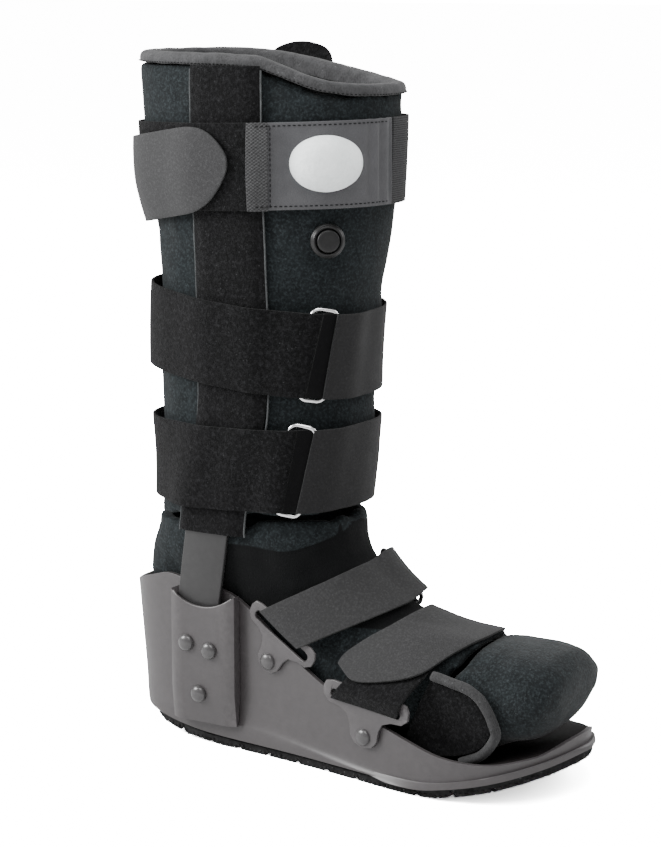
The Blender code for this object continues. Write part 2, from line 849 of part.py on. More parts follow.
def bar_path(body, top_x):
    """Middle line of an upright's inner face on the near side, from the foot to the top."""
    shares = bar_shares()
    needed = []
    for share in shares:
        z, x = share * LINER_HEIGHT, bar_x(share, top_x)
        needed.append(max(side_y([body], x + step * BAR_WIDTH / 2.0, z, LAY)
                          for step in (-1.0, 0.0, 1.0)))
    slope = (needed[-1] - needed[0]) / (len(needed) - 1)
    extra = max(need - needed[0] - slope * k for k, need in enumerate(needed))
    path = [(BAR_FOOT_X, -channel_wall() - 2.0 * GAP, BAR_FOOT_Z),
            (BAR_FOOT_X, -channel_wall() - 2.0 * GAP, CHANNEL_TOP - 0.004)]
    for k, share in enumerate(shares):
        path.append((bar_x(share, top_x), -(needed[0] + slope * k + extra), share * LINER_HEIGHT))
    return path


def build_bar(name, path, material):
    """Flat steel bar along its path."""
    points, half = [], BAR_WIDTH / 2.0
    for i, (x, y, z) in enumerate(path):
        round_end = 0.004 if i in (0, len(path) - 1) else 0.0
        points += [(x - half + round_end, y, z), (x + half - round_end, y, z)]
    bar = add_mesh(name, points, grid_faces(len(path), 2), material)
    if bar.data.polygons[0].normal.y > 0.0:
        bar.data.flip_normals()
    thicken(bar, BAR_THICKNESS, 1.0)
    return bar


def build_sleeve(name, body, path, top_x, top, fall, material):
    """Fuzzy strip drawn over an upright, from above its foot to the rim."""
    half = BAR_WIDTH / 2.0
    lines = np.array([[(x - half, y, z), (x + half, y, z),
                       (x - half, y - BAR_THICKNESS, z), (x + half, y - BAR_THICKNESS, z)]
                      for x, y, z in path])
    shares = [SLEEVE_FOOT] + bar_shares() + [top]
    points = []
    for share in shares:
        width = SLEEVE_WIDTH / 2.0 * (0.94 + 0.06 * smooth((share - SLEEVE_FOOT) / 0.2))
        middle, bar = sleeve_x(share, top_x), bar_x(share, top_x)
        left, right = bar - half - GAP, bar + half + GAP
        places = (middle - width, (middle - width + left) / 2.0, left, bar, right,
                  (middle + width + right) / 2.0, middle + width)
        for x in places:
            edge = abs(x - middle) / width
            z = share * LINER_HEIGHT - (fall * edge ** 3 if share == top else 0.0)
            y = side_y([body, lines], x, min(z, path[-1][2]), GAP * 1.6)
            points.append((x, -y, z))
    rows, columns = len(shares), len(points) // len(shares)
    sleeve = add_mesh(name, points, grid_faces(rows, columns), material)
    if sleeve.data.polygons[0].normal.y > 0.0:
        sleeve.data.flip_normals()
    thicken(sleeve, SLEEVE_THICKNESS, 1.0)
    outer = np.array(points).reshape(rows, columns, 3)
    return shade(sleeve), outer - np.array((0.0, SLEEVE_THICKNESS + GAP / 2.0, 0.0))


def sleeve_x(share, top_x):
    """Middle of a sleeve at a share of the liner's height."""
    return bar_x(share, top_x) + SLEEVE_LEAD * (1.0 - smooth((share - 0.38) / 0.1))


def build_cover(material):
    """Raised channel on the shell's side, open at the top for the upright."""
    face = channel_wall() + CHANNEL_DEPTH
    columns, rows, half = 10, 4, CHANNEL_LENGTH / 2.0
    inner, outer = [], []
    for r in range(rows + 1):
        for k in range(columns + 1):
            u = 2.0 * k / columns - 1.0
            x = BAR_FOOT_X + 0.004 + u * half
            top = CHANNEL_TOP - CHANNEL_DIP * (1.0 - abs(u) ** 2.2)
            z = CHANNEL_BOTTOM + (top - CHANNEL_BOTTOM) * r / rows
            rim = 0.0022 * (max(abs(u) - 0.8, 0.0) / 0.2 + (r == 0))
            inner.append((x, -shell_half_width(x, z) - 1.5 * GAP, z))
            outer.append((x, -face + rim, z))
    count = (rows + 1) * (columns + 1)
    faces = grid_faces(rows + 1, columns + 1)
    faces += [tuple(reversed([v + count for v in quad])) for quad in faces]
    edge = [k for k in range(columns + 1)]
    edge += [r * (columns + 1) + columns for r in range(1, rows + 1)]
    edge += [rows * (columns + 1) + k for k in range(columns - 1, -1, -1)]
    edge += [r * (columns + 1) for r in range(rows - 1, 0, -1)]
    for i, a in enumerate(edge):
        b = edge[(i + 1) % len(edge)]
        faces.append((b, a, a + count, b + count))
    cover = add_mesh("channel_right", inner + outer, faces, material)
    half_bar = BAR_WIDTH / 2.0 + GAP
    low = (BAR_FOOT_X - half_bar, -channel_wall() - BAR_THICKNESS - 3.5 * GAP,
           BAR_FOOT_Z - GAP)
    high = (BAR_FOOT_X + half_bar, -0.02, CHANNEL_TOP + 0.02)
    cut(cover, add_cutter("upright_pocket", *box_mesh(low, high)))
    return shade(cover, 30.0), face


def turned(name, profile, place, turn, material, steps=12):
    """Turned piece: a profile from the axis' top to its bottom, turned about local Z."""
    mesh = bpy.data.meshes.new(name)
    points = [(radius, 0.0, z) for radius, z in profile]
    mesh.from_pydata(points, [(i, i + 1) for i in range(len(points) - 1)], [])
    thing = add_object(name, mesh, material)
    screw = thing.modifiers.new("Screw", "SCREW")
    screw.steps = steps
    screw.render_steps = steps
    screw.use_merge_vertices = True
    screw.merge_threshold = 0.00001
    screw.use_smooth_shade = True
    thing.location = place
    thing.rotation_euler = turn
    return thing


def rivet(name, place, turn, material):
    """Domed rivet head."""
    r, h = RIVET_RADIUS, RIVET_HEIGHT
    profile = ((0.0, h), (0.6 * r, 0.84 * h), (r, 0.2 * h), (r, 0.0), (0.0, 0.0))
    return turned(name, profile, place, turn, material, steps=10)


def build_bracket(name, centre, slope, length, material):
    """Slotted strap bracket, riveted to the shell's near side."""
    cx, cz = LEG_CENTRE_X + centre[0] * SOLE_LENGTH, centre[1] * SHELL_HEIGHT
    slope = math.radians(slope)
    rivet_x = cx + RIVET_DROP * math.sin(slope)
    rivet_z = cz - RIVET_DROP * math.cos(slope)
    step = length * 0.3
    ahead = shell_half_width(rivet_x + step, rivet_z)
    behind = shell_half_width(rivet_x - step, rivet_z)
    middle = shell_half_width(rivet_x, rivet_z)
    heading = math.atan2(behind - ahead, 2.0 * step)
    base = max(middle, (ahead + behind) / 2.0) + 1.6 * GAP
    frame = (Matrix.Translation((rivet_x, -base, rivet_z)) @ Matrix.Rotation(heading, 4, "Z")
             @ Matrix.Rotation(-slope, 4, "Y"))
    outline = [Vector((u * length / 2.0, 0.0, v * BRACKET_HEIGHT + RIVET_DROP))
               for u, v in BRACKET_OUTLINE]
    mesh = bpy.data.meshes.new(name)
    mesh.from_pydata([frame @ p for p in outline], [], [tuple(range(len(outline)))])
    plate = add_object(name, mesh, material)
    if mesh.polygons[0].normal.y > 0.0:
        mesh.flip_normals()
    thicken(plate, BRACKET_THICKNESS, 1.0)
    slot = []
    for k in range(16):
        turn = 2.0 * math.pi * k / 16.0
        side = math.copysign(length * SLOT_SHARE / 2.0 - SLOT_HEIGHT / 2.0, math.cos(turn))
        u = side + SLOT_HEIGHT / 2.0 * math.cos(turn)
        v = RIVET_DROP + SLOT_HEIGHT / 2.0 * math.sin(turn)
        slot.append((u, v))
    points = [frame @ Vector((u, y, v)) for y in (-0.01, 0.01) for u, v in slot]
    faces = [tuple(range(16)), tuple(range(31, 15, -1))]
    faces += [(k, 16 + k, 16 + (k + 1) % 16, (k + 1) % 16) for k in range(16)]
    cut(plate, add_cutter(name + "_slot", points, faces))
    head = frame @ Vector((0.0, -BRACKET_THICKNESS - GAP, 0.0))
    top = BRACKET_HEIGHT * 0.52 + RIVET_DROP
    low = RIVET_DROP + SLOT_HEIGHT / 2.0
    lines = np.array([[tuple(frame @ Vector((u * length / 2.0, y, v)))
                       for y in (0.0, -BRACKET_THICKNESS) for v in (low, top)]
                      for u in (-0.95, 0.0, 0.95)])
    return plate, head, heading, lines


# Straps

def ring_shape(name, middle, across, up, height, material):
    """Rectangular wire ring with round corners."""
    across, up = Vector(across).normalized(), Vector(up).normalized()
    half_w, half_h, r = RING_WIDTH / 2.0 - RING_WIRE, height / 2.0, RING_CORNER
    points = []
    for quarter in range(4):
        sx = (1, -1, -1, 1)[quarter]
        sy = (1, 1, -1, -1)[quarter]
        for k in range(4):
            turn = math.pi / 2.0 * (quarter + k / 3.0)
            u = sx * (half_w - r) + r * math.cos(turn)
            v = sy * (half_h - r) + r * math.sin(turn)
            points.append(Vector(middle) + across * u + up * v)
    curve = bpy.data.curves.new(name, "CURVE")
    curve.dimensions = "3D"
    spline = curve.splines.new("POLY")
    spline.points.add(len(points) - 1)
    for target, p in zip(spline.points, points):
        target.co = (*p, 1.0)
    spline.use_cyclic_u = True
    curve.bevel_depth = RING_WIRE
    curve.bevel_resolution = 1
    curve.materials.append(material)
    thing = bpy.data.objects.new(name, curve)
    PARTS.objects.link(thing)
    return thing


def plane_between(low, high, share):
    """Plane of a band at a share of its width."""
    return tuple(a + (b - a) * share for a, b in zip(low, high))


def build_ring(name, grids, low, high, angle, material, lift=LAY, slant=0.0):
    """Ring at a band's angle, a little taller than the band is wide."""
    x, z, lean = plane_between(low, high, 0.5)
    spread = 5.0
    angles = [math.radians(angle + step) for step in (-spread, 0.0, spread)]
    first, centre, last = taut_line(grids, (x, 0.0, z), math.radians(lean), angles, lift)
    under = surface_point(grids, low[0], low[1], low[2], angle - slant / 2.0, lift)
    over = surface_point(grids, high[0], high[1], high[2], angle + slant / 2.0, lift)
    across, up = last - first, over - under
    out = np.cross(up, across)
    out = out / np.linalg.norm(out)
    if out @ (centre - np.array((x, 0.0, z))) < 0.0:
        out = -out
    across = np.cross(up, out)
    middle = (under + over) / 2.0
    middle = middle + out * max((centre - middle) @ out, 0.0) + out * (RING_WIRE + GAP)
    height = float(np.linalg.norm(up)) + 2.0 * (RING_WIRE + GAP)
    return ring_shape(name, middle, across, up, height, material)


def ring_rise(start, end, place, loose=STRAP_LOOSE, climb=STRAP_RISE):
    """Lift of a band over a ring at its start, and how loose it hangs further on."""
    span = abs(end - start)

    def rise(share):
        lifted = climb * (1.0 - smooth((share * span - place) / RISE_TURN))
        return lifted + loose * smooth((share - 0.3) / 0.3) * smooth((1.15 - share) / 0.3)

    return rise


def round_start(span, turn):
    """Edges of a band whose first end is round over an angle."""
    def edges(share):
        away = min(share * span / turn, 1.0)
        half = max(0.5 * math.sqrt(1.0 - (1.0 - away) ** 2), 0.10)
        return 0.5 - half, 0.5 + half

    return edges


def surface_point(grids, x, z, lean, angle, lift):
    """One point of a taut outline."""
    turn = [math.radians(angle)]
    return taut_line(grids, (x, 0.0, z), math.radians(lean), turn, lift)[0]


def build_bulb(grids, material):
    """Soft pump bulb: an oval dome on the liner."""
    rings, count, base, top = 4, 18, [], []
    left = surface_point(grids, LEG_CENTRE_X, BULB_Z, 0.0, BULB_ANGLE - BULB_TURN, LAY)
    right = surface_point(grids, LEG_CENTRE_X, BULB_Z, 0.0, BULB_ANGLE + BULB_TURN, LAY)
    chord = right - left
    out = np.array((chord[1], -chord[0], 0.0)) / np.linalg.norm(chord)
    for r in range(rings + 1):
        share = r / rings
        for k in range(count if r else 1):
            turn = 2.0 * math.pi * k / count
            angle = BULB_ANGLE + BULB_TURN * share * math.cos(turn)
            z = BULB_Z + (WINDOW_HEIGHT / 2.0 - 0.0010) * share * math.sin(turn)
            p = surface_point(grids, LEG_CENTRE_X, z, 0.0, angle, LAY)
            base.append(p)
            top.append(p + out * (0.0012 + BULB_RISE * math.sqrt(max(1.0 - share ** 2.6, 0.0))))
    faces = []
    offset = len(base)
    for k in range(count):
        n = (k + 1) % count
        faces.append((0, 1 + n, 1 + k))
        faces.append((offset, offset + 1 + k, offset + 1 + n))
        for r in range(1, rings):
            a, b = 1 + (r - 1) * count, 1 + r * count
            faces.append((a + k, a + n, b + n, b + k))
            faces.append((offset + a + k, offset + b + k, offset + b + n, offset + a + n))
        last = 1 + (rings - 1) * count
        faces.append((last + k, last + n, offset + last + n, offset + last + k))
    return shade(add_mesh("pump_bulb", base + top, faces, material), 60.0), left, right, out


def build_window(left, right, out):
    """Cutter for the pocket's oval window."""
    middle, across = (left + right) / 2.0, (right - left) / np.linalg.norm(right - left)
    up = np.array((0.0, 0.0, 1.0))
    count, points = 28, []
    for depth in (-0.012, 0.03):
        for k in range(count):
            turn = 2.0 * math.pi * k / count
            points.append(middle + across * math.cos(turn) * WINDOW_LENGTH / 2.0
                          + up * math.sin(turn) * WINDOW_HEIGHT / 2.0 + out * depth)
    faces = [tuple(range(count)), tuple(range(2 * count - 1, count - 1, -1))]
    faces += [(k, count + k, count + (k + 1) % count, (k + 1) % count) for k in range(count)]
    return add_cutter("pump_window", points, faces)


def build_binding(name, points, radius, material, closed=True):
    """Rolled tape along an edge."""
    curve = bpy.data.curves.new(name, "CURVE")
    curve.dimensions = "3D"
    spline = curve.splines.new("POLY")
    spline.points.add(len(points) - 1)
    for target, p in zip(spline.points, points):
        target.co = (*p, 1.0)
    spline.use_cyclic_u = closed
    curve.bevel_depth = radius
    curve.bevel_resolution = 1
    curve.use_fill_caps = not closed
    curve.materials.append(material)
    thing = bpy.data.objects.new(name, curve)
    PARTS.objects.link(thing)
    return thing


def rim_line():
    """Middle line of the binding on the rim, clear of the rim where it slopes."""
    line = [body_point(0.0, 2.0 * math.pi * j / RING_POINTS, LINER_WALL / 2.0)
            for j in range(RING_POINTS)]
    lifted = []
    for j, p in enumerate(line):
        reach = [q - p for q in (line[j - 1], line[(j + 1) % RING_POINTS])]
        slope = max(abs(d[2]) / float(np.hypot(d[0], d[1])) for d in reach)
        lift = (BINDING_RADIUS + GAP) * math.sqrt(1.0 + slope * slope)
        lifted.append(p + np.array((0.0, 0.0, lift)))
    return lifted


def build_flap(body, material, tape):
    """Side flap beside the toe, with its taped front edge."""
    strap_x, strap_z, lean = foot_planes(TOE_LOOP_PLANES)[1]
    columns, levels, rows = 8, 4, []
    for k in range(columns + 1):
        u = k / columns
        drop = 1.0 - math.sqrt(1.0 - max((u - 0.55) / 0.45, 0.0) ** 2.2)
        top = FLAP_TOP - 0.006 * u - 0.016 * drop
        row = []
        for r in range(levels + 1):
            x = FLAP_BACK_X + (FLAP_FRONT_X - FLAP_BACK_X) * u
            low = shell_bottom(x) + SHELL_WALL + FOOTBED_THICKNESS + BINDING_RADIUS * 2.6
            low += 0.012 * drop
            z = low + (top - low) * r / levels
            behind = strap_x + (z - strap_z) / math.tan(math.radians(lean)) + 2.0 * STRAP_THICKNESS
            x = max(FLAP_BACK_X, behind) * (1.0 - u) + FLAP_FRONT_X * u
            row.append((x, -side_y([body], x, max(z, 0.036), LAY), z))
        rows.append(row)
    points = [p for row in rows for p in row]
    flap = add_mesh("side_flap", points, grid_faces(columns + 1, levels + 1), material)
    if flap.data.polygons[0].normal.y > 0.0:
        flap.data.flip_normals()
    thicken(flap, FLAP_THICKNESS, 1.0)
    path = [rows[k][-1] for k in range(columns)]
    path += [rows[-1][r] for r in range(levels, -1, -1)]
    path += [rows[k][0] for k in range(columns - 1, 4, -1)]
    path = np.array(path)
    line = []
    for i, p in enumerate(path):
        ahead = path[min(i + 1, len(path) - 1)] - path[max(i - 1, 0)]
        away = np.array((-ahead[2], 0.0, ahead[0]))
        away = away / np.linalg.norm(away) * (BINDING_RADIUS + 2.0 * GAP)
        line.append(p + away - np.array((0.0, (FLAP_THICKNESS + BINDING_RADIUS) / 2.0, 0.0)))
    build_binding("side_flap_binding", line, BINDING_RADIUS, tape, closed=False)
    return shade(flap)


def main():
    """Build the boot."""
    rubber = make_material("outsole_rubber", (0.02, 0.02, 0.022), 0.85)
    plastic = make_material("shell_plastic", (0.16, 0.15, 0.155), 0.5)
    foam = make_material("footbed_foam", (0.03, 0.027, 0.027), 0.9)
    cloth = make_material("liner_cloth", (0.022, 0.027, 0.03), 0.95)
    tape = make_material("binding_tape", (0.12, 0.12, 0.12), 0.8)
    fuzzy = make_material("loop_fabric", (0.015, 0.015, 0.016), 1.0)
    grey = make_material("hook_fabric", (0.08, 0.08, 0.082), 0.75)
    steel = make_material("painted_steel", (0.13, 0.125, 0.13), 0.45, 0.2)
    chrome = make_material("chrome", (0.8, 0.8, 0.8), 0.15, 1.0)
    white = make_material("bulb_rubber", (0.75, 0.82, 0.82), 0.5)
    black = make_material("valve_plastic", (0.03, 0.03, 0.03), 0.4)

    build_outsole(rubber)
    build_shell(plastic)
    build_footbed(foam)
    build_liner("liner_leg", 0.0, LEG_END, 8, cloth)
    build_liner("liner_foot", LEG_END + ROW_GAP, FOOT_END, 10, cloth)
    build_liner("toe_cap", FOOT_END + ROW_GAP, TOE_END, 5, cloth, closed=True,
                inner_end=TOE_END - 0.8)
    body = body_lines()
    build_binding("top_binding", rim_line(), BINDING_RADIUS, tape)

    layers = [body]
    for side, top_x, top, fall in (("right", BAR_TOP_X, 1.004, 0.0),
                                   ("left", FAR_BAR_TOP_X, 1.026, SLEEVE_TAB_RISE)):
        path = bar_path(body, top_x)
        bar = build_bar("upright_" + side, path, steel)
        sleeve, outer = build_sleeve("sleeve_" + side, body, path, top_x, top, fall, fuzzy)
        if side == "left":
            outer = outer * np.array((1.0, -1.0, 1.0))
            for near in (bar, sleeve):
                mirrored(near, near.name + "_far")
        layers.append(outer)
    for side in ("upright_left", "sleeve_left"):
        near = bpy.data.objects[side]
        bpy.data.objects.remove(near, do_unlink=True)
        bpy.data.objects[side + "_far"].name = side

    cover, face = build_cover(plastic)
    far_cover = mirrored(cover, "channel_left")
    cutter = bpy.data.objects["upright_pocket"]
    far_cutter = add_cutter("upright_pocket_far",
                            [(p.co.x, -p.co.y, p.co.z) for p in cutter.data.vertices],
                            [tuple(reversed(f.vertices)) for f in cutter.data.polygons])
    far_cover.modifiers["Cut"].object = far_cutter
    for side, sign in (("right", -1.0), ("left", 1.0)):
        for k, (x, z) in enumerate(CHANNEL_RIVETS):
            place = (BAR_FOOT_X + x * CHANNEL_LENGTH, sign * (face + GAP), z * SHELL_HEIGHT)
            turn = (math.radians(90.0) * -sign, 0.0, 0.0)
            rivet("channel_rivet_%s_%d" % (side, k + 1), place, turn, steel)

    brackets = {}
    for kind, centre, slope, length in BRACKETS:
        plate, head, heading, lines = build_bracket(kind + "_bracket_right", centre, slope,
                                                    length, steel)
        twin = mirrored(plate, kind + "_bracket_left")
        slot = bpy.data.objects[kind + "_bracket_right_slot"]
        twin.modifiers["Cut"].object = add_cutter(
            kind + "_bracket_left_slot", [(p.co.x, -p.co.y, p.co.z) for p in slot.data.vertices],
            [tuple(reversed(f.vertices)) for f in slot.data.polygons])
        rivet(kind + "_rivet_right", head, (math.radians(90.0), 0.0, heading), steel)
        rivet(kind + "_rivet_left", (head[0], -head[1], head[2]),
              (math.radians(-90.0), 0.0, -heading), steel)
        far = lines * np.array((1.0, -1.0, 1.0))
        brackets[kind] = [lines, far]

    build_leg_straps(layers, fuzzy, grey, chrome, white)
    build_valve(body, black)
    build_foot_straps(body, brackets, fuzzy, grey, chrome)
    build_flap(body, cloth, tape)


def leg_planes(strap):
    """Planes of a leg strap's two edges."""
    share, lean = strap
    low = share * LINER_HEIGHT
    return (LEG_CENTRE_X, low, lean), (LEG_CENTRE_X, low + STRAP_WIDTH, lean)


def foot_planes(rows):
    """Planes of a foot strap's two edges."""
    return [(LEG_CENTRE_X + x * SOLE_LENGTH, z * INSTEP_HEIGHT, lean) for x, z, lean in rows]


def build_leg_straps(layers, fuzzy, grey, chrome, white):
    """Three straps round the leg and the pump on the top one."""
    low, high = leg_planes(TOP_STRAP)
    _, under = band("top_band", layers, low, high, -67.6, -285.0, STRAP_THICKNESS, fuzzy,
                    steps=18)
    pocket, face = band("pump_pocket", layers, low, high, -66.8, -2.0, POCKET_THICKNESS, grey,
                        steps=10)
    _, left, right, out = build_bulb(layers, white)
    cut(pocket, build_window(left, right, out))
    band("top_webbing", layers, low, high, -1.4, 74.0, STRAP_THICKNESS, grey, steps=8)
    band("webbing_patch", layers + [under, face], low, high, -68.8, -58.6, TAB_THICKNESS * 0.7,
         grey, steps=3)
    tab_low = (LEG_CENTRE_X, low[1] + 0.0005, 11.0)
    tab_high = (LEG_CENTRE_X, high[1], 9.0)
    band("top_hook_tab", layers + [under], tab_low, tab_high, -78.5, -190.0, TAB_THICKNESS, grey,
         edges=round_start(111.5, 26.0), steps=14)
    for name, strap, start, ring, slant in (("mid", MID_STRAP, -28.0, -33.0, 6.0),
                                            ("low", LOW_STRAP, -38.5, -43.5, 8.0)):
        low, high = leg_planes(strap)
        band(name + "_strap_loop", layers, low, high, start, -205.0, STRAP_THICKNESS, fuzzy,
             rise=ring_rise(start, -205.0, 19.0), steps=18, slant=slant)
        band(name + "_strap_hook", layers, low, high, start + 1.2, 154.0, STRAP_THICKNESS * 0.8,
             grey, rise=ring_rise(start, 154.0, 9.0), steps=18, slant=slant)
        build_ring(name + "_ring", layers, low, high, ring, chrome, slant=slant)


def build_valve(body, black):
    """Round valve with its press button."""
    height = VALVE_Z
    point = surface_point([body], LEG_CENTRE_X, height, 0.0, VALVE_ANGLE, 0.0)
    before = surface_point([body], LEG_CENTRE_X, height, 0.0, VALVE_ANGLE - 7.0, 0.0)
    after = surface_point([body], LEG_CENTRE_X, height, 0.0, VALVE_ANGLE + 7.0, 0.0)
    chord = after - before
    out = np.array((chord[1], -chord[0], 0.0)) / np.linalg.norm(chord)
    heading = math.atan2(out[1], out[0])
    turn = (0.0, math.radians(90.0), heading)
    near = [surface_point([body], LEG_CENTRE_X, height + z, 0.0, VALVE_ANGLE + a, 0.0)
            for z in (-VALVE_RADIUS, 0.0, VALVE_RADIUS) for a in (-7.0, -3.5, 0.0, 3.5, 7.0)]
    point = point + out * (max(float((p - point) @ out) for p in near) + GAP)
    r, h, bore = VALVE_RADIUS, VALVE_HEIGHT, BUTTON_RADIUS + GAP
    base = ((0.0, 0.001), (bore, 0.001), (bore, h - 0.0006), (bore + 0.0008, h),
            (r - 0.0014, h), (r, h - 0.0014), (r, 0.0), (0.0, 0.0))
    turned("valve_base", base, point, turn, black, steps=20)
    b, top = BUTTON_RADIUS, h + BUTTON_PROUD
    floor = 0.001 + BUTTON_TRAVEL
    button = ((0.0, top), (0.6 * b, top), (0.92 * b, top - 0.0003), (b, top - 0.0010), (b, floor),
              (0.0, floor))
    turned("valve_button", button, point, turn, black, steps=20)


def shell_lines():
    """Upper part of the shell's outer wall, near and far, which the foot straps lie on."""
    near = []
    for t in shell_columns():
        point, _, share = outward(t)
        top = rim_height(share)
        low = (top + ledge_height(share, point[0])) / 2.0
        near.append([(*wall_place(t, z), z) for z in (low, top)])
    near = np.array(near)
    return [near, near * np.array((1.0, -1.0, 1.0))]


def build_foot_straps(body, brackets, fuzzy, grey, chrome):
    """Instep strap and toe strap, drawn over their brackets."""
    body = [body] + shell_lines()
    grids = body + brackets["instep"]
    low, high = foot_planes(INSTEP_PLANES)
    band("instep_strap_loop", grids, low, high, 31.2, 102.0, STRAP_THICKNESS, fuzzy, steps=8,
         rise=ring_rise(31.2, 102.0, 20.0, 0.0, STRAP_RISE * 1.2))
    band("instep_strap", grids, low, high, 30.0, -102.0, STRAP_THICKNESS, grey,
         rise=ring_rise(30.0, -102.0, 20.0, 0.0, STRAP_RISE * 1.2), steps=16)
    build_ring("instep_ring", grids, low, high, 30.0, chrome)
    grids = body + brackets["toe"]
    low, high = foot_planes(TOE_LOOP_PLANES)
    _, under = band("toe_strap_loop", grids, low, high, -91.0, -30.0, STRAP_THICKNESS, fuzzy,
                    steps=8)
    low, high = foot_planes(TOE_PLANES)
    band("toe_strap_tab", grids + [under], low, high, -70.0, 90.0, TAB_THICKNESS, grey,
         edges=round_start(160.0, 22.0), steps=18)


BODY = body_rows()
clear_scene()
PARTS = new_collection("offloading_boot")
CUTTERS = new_collection("cutters")
CUTTERS.hide_render = True

if __name__ == "__main__":
    main()
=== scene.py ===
"""Looks of the offloading boot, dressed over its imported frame.

Metres, +Z up.  The toe points to +X, the floor is Z = 0 and the side that the camera sees is -Y.
"""

import json
import logging
import math
from dataclasses import dataclass, replace
from enum import Enum
from typing import Callable, Iterable, Sequence

import bmesh
import bpy
import numpy as np
from mathutils import Matrix, Vector, noise
from mathutils.bvhtree import BVHTree


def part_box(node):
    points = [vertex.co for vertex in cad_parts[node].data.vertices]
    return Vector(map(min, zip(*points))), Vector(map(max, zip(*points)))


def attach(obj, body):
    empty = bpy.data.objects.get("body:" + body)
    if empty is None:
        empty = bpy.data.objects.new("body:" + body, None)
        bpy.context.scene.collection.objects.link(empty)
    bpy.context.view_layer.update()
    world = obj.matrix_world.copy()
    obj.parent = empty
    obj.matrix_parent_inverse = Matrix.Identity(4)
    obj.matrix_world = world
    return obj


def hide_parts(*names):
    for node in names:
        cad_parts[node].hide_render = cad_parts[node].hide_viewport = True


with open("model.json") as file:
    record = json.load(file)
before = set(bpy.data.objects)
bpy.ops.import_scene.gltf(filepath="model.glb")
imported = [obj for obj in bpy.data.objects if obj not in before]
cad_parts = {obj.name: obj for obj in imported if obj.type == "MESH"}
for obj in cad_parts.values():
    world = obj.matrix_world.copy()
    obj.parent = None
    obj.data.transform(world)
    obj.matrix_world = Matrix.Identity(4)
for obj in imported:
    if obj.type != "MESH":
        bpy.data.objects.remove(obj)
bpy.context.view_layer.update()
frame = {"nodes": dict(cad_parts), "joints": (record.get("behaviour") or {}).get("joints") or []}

LOG = logging.getLogger("boot")

# Sizes of the frame that the dressing is laid out on
LEG_CENTRE_X = -0.0760
LINER_HEIGHT = 0.4278
STRAP_WIDTH = 0.052
BOOT_BODY = "boot"
BUTTON_BODY = "button"

# Clearance that soft pieces keep from their neighbours
CLEAR = 0.0003
# Distance under which points are one, and the angle from which an edge is rounded
MERGE = 1e-5
ROUND_FROM = 50.0


class Pattern(Enum):
    """What the close surface of a finish is made of."""

    PILE = "short_pile"
    WEAVE = "plain_weave"
    RIB = "ribbed_webbing"
    KNIT = "fine_knit"
    GRAIN = "moulded_grain"
    FELT = "speckled_felt"
    POLISH = "polish_marks"


class NodeSheet:
    """Short way to lay shader nodes into a tree."""

    def __init__(self, tree: bpy.types.NodeTree) -> None:
        """Keep the tree that the nodes go into."""
        self.tree = tree

    def add(self, kind: str, **settings: object) -> bpy.types.Node:
        """Add a node and set its own properties.

        Args:
            kind: Type name of the node.
            settings: Properties of the node and their values.

        Returns:
            The new node.
        """
        node = self.tree.nodes.new(kind)
        for key, value in settings.items():
            setattr(node, key, value)
        return node

    def feed(self, socket: bpy.types.NodeSocket, value: object) -> None:
        """Link a socket into an input, or set the input's own value.

        Args:
            socket: Input socket.
            value: Output socket, number, or tuple of numbers.
        """
        if isinstance(value, bpy.types.NodeSocket):
            self.tree.links.new(value, socket)
        else:
            socket.default_value = value

    def math(self, operation: str, first: object, second: object = 0.0,
             clamp: bool = False) -> bpy.types.NodeSocket:
        """Add a Math node.

        Args:
            operation: Name of the operation.
            first: First socket or number.
            second: Second socket or number.
            clamp: Whether the result is kept between 0 and 1.

        Returns:
            The value that comes out.
        """
        node = self.add("ShaderNodeMath", operation=operation, use_clamp=clamp)
        self.feed(node.inputs[0], first)
        self.feed(node.inputs[1], second)
        return node.outputs[0]

    def mix(self, factor: object, first: object, second: object) -> bpy.types.NodeSocket:
        """Blend two colours.

        Args:
            factor: Share of the second colour.
            first: First colour.
            second: Second colour.

        Returns:
            The blended colour.
        """
        node = self.add("ShaderNodeMix", data_type="RGBA", clamp_factor=True)
        self.feed(node.inputs[0], factor)
        self.feed(node.inputs[6], first)
        self.feed(node.inputs[7], second)
        return node.outputs[2]

    def noise(self, vector: object, scale: float, detail: float = 2.0,
              rough: float = 0.5) -> bpy.types.NodeSocket:
        """Add a noise texture and give its grey value.

        Args:
            vector: Where it is read.
            scale: Repeats in a unit.
            detail: Octaves.
            rough: Strength of the finer octaves.

        Returns:
            The value that comes out.
        """
        node = self.add("ShaderNodeTexNoise")
        self.feed(node.inputs["Vector"], vector)
        self.feed(node.inputs["Scale"], scale)
        self.feed(node.inputs["Detail"], detail)
        self.feed(node.inputs["Roughness"], rough)
        return node.outputs[0]

    def ramp(self, value: object, low: float, high: float) -> bpy.types.NodeSocket:
        """Stretch a value so that low becomes 0 and high becomes 1.

        Args:
            value: What is stretched.
            low: Value that becomes 0.
            high: Value that becomes 1.

        Returns:
            The stretched value.
        """
        node = self.add("ShaderNodeMapRange", clamp=True)
        self.feed(node.inputs["Value"], value)
        self.feed(node.inputs["From Min"], low)
        self.feed(node.inputs["From Max"], high)
        return node.outputs["Result"]

    def group(self, tree: bpy.types.NodeTree, **values: object) -> bpy.types.Node:
        """Place a node group and feed its inputs.

        Args:
            tree: The group.
            values: Inputs by name.

        Returns:
            The group's node.
        """
        node = self.add("ShaderNodeGroup")
        node.node_tree = tree
        for key, value in values.items():
            self.feed(node.inputs[key], value)
        return node


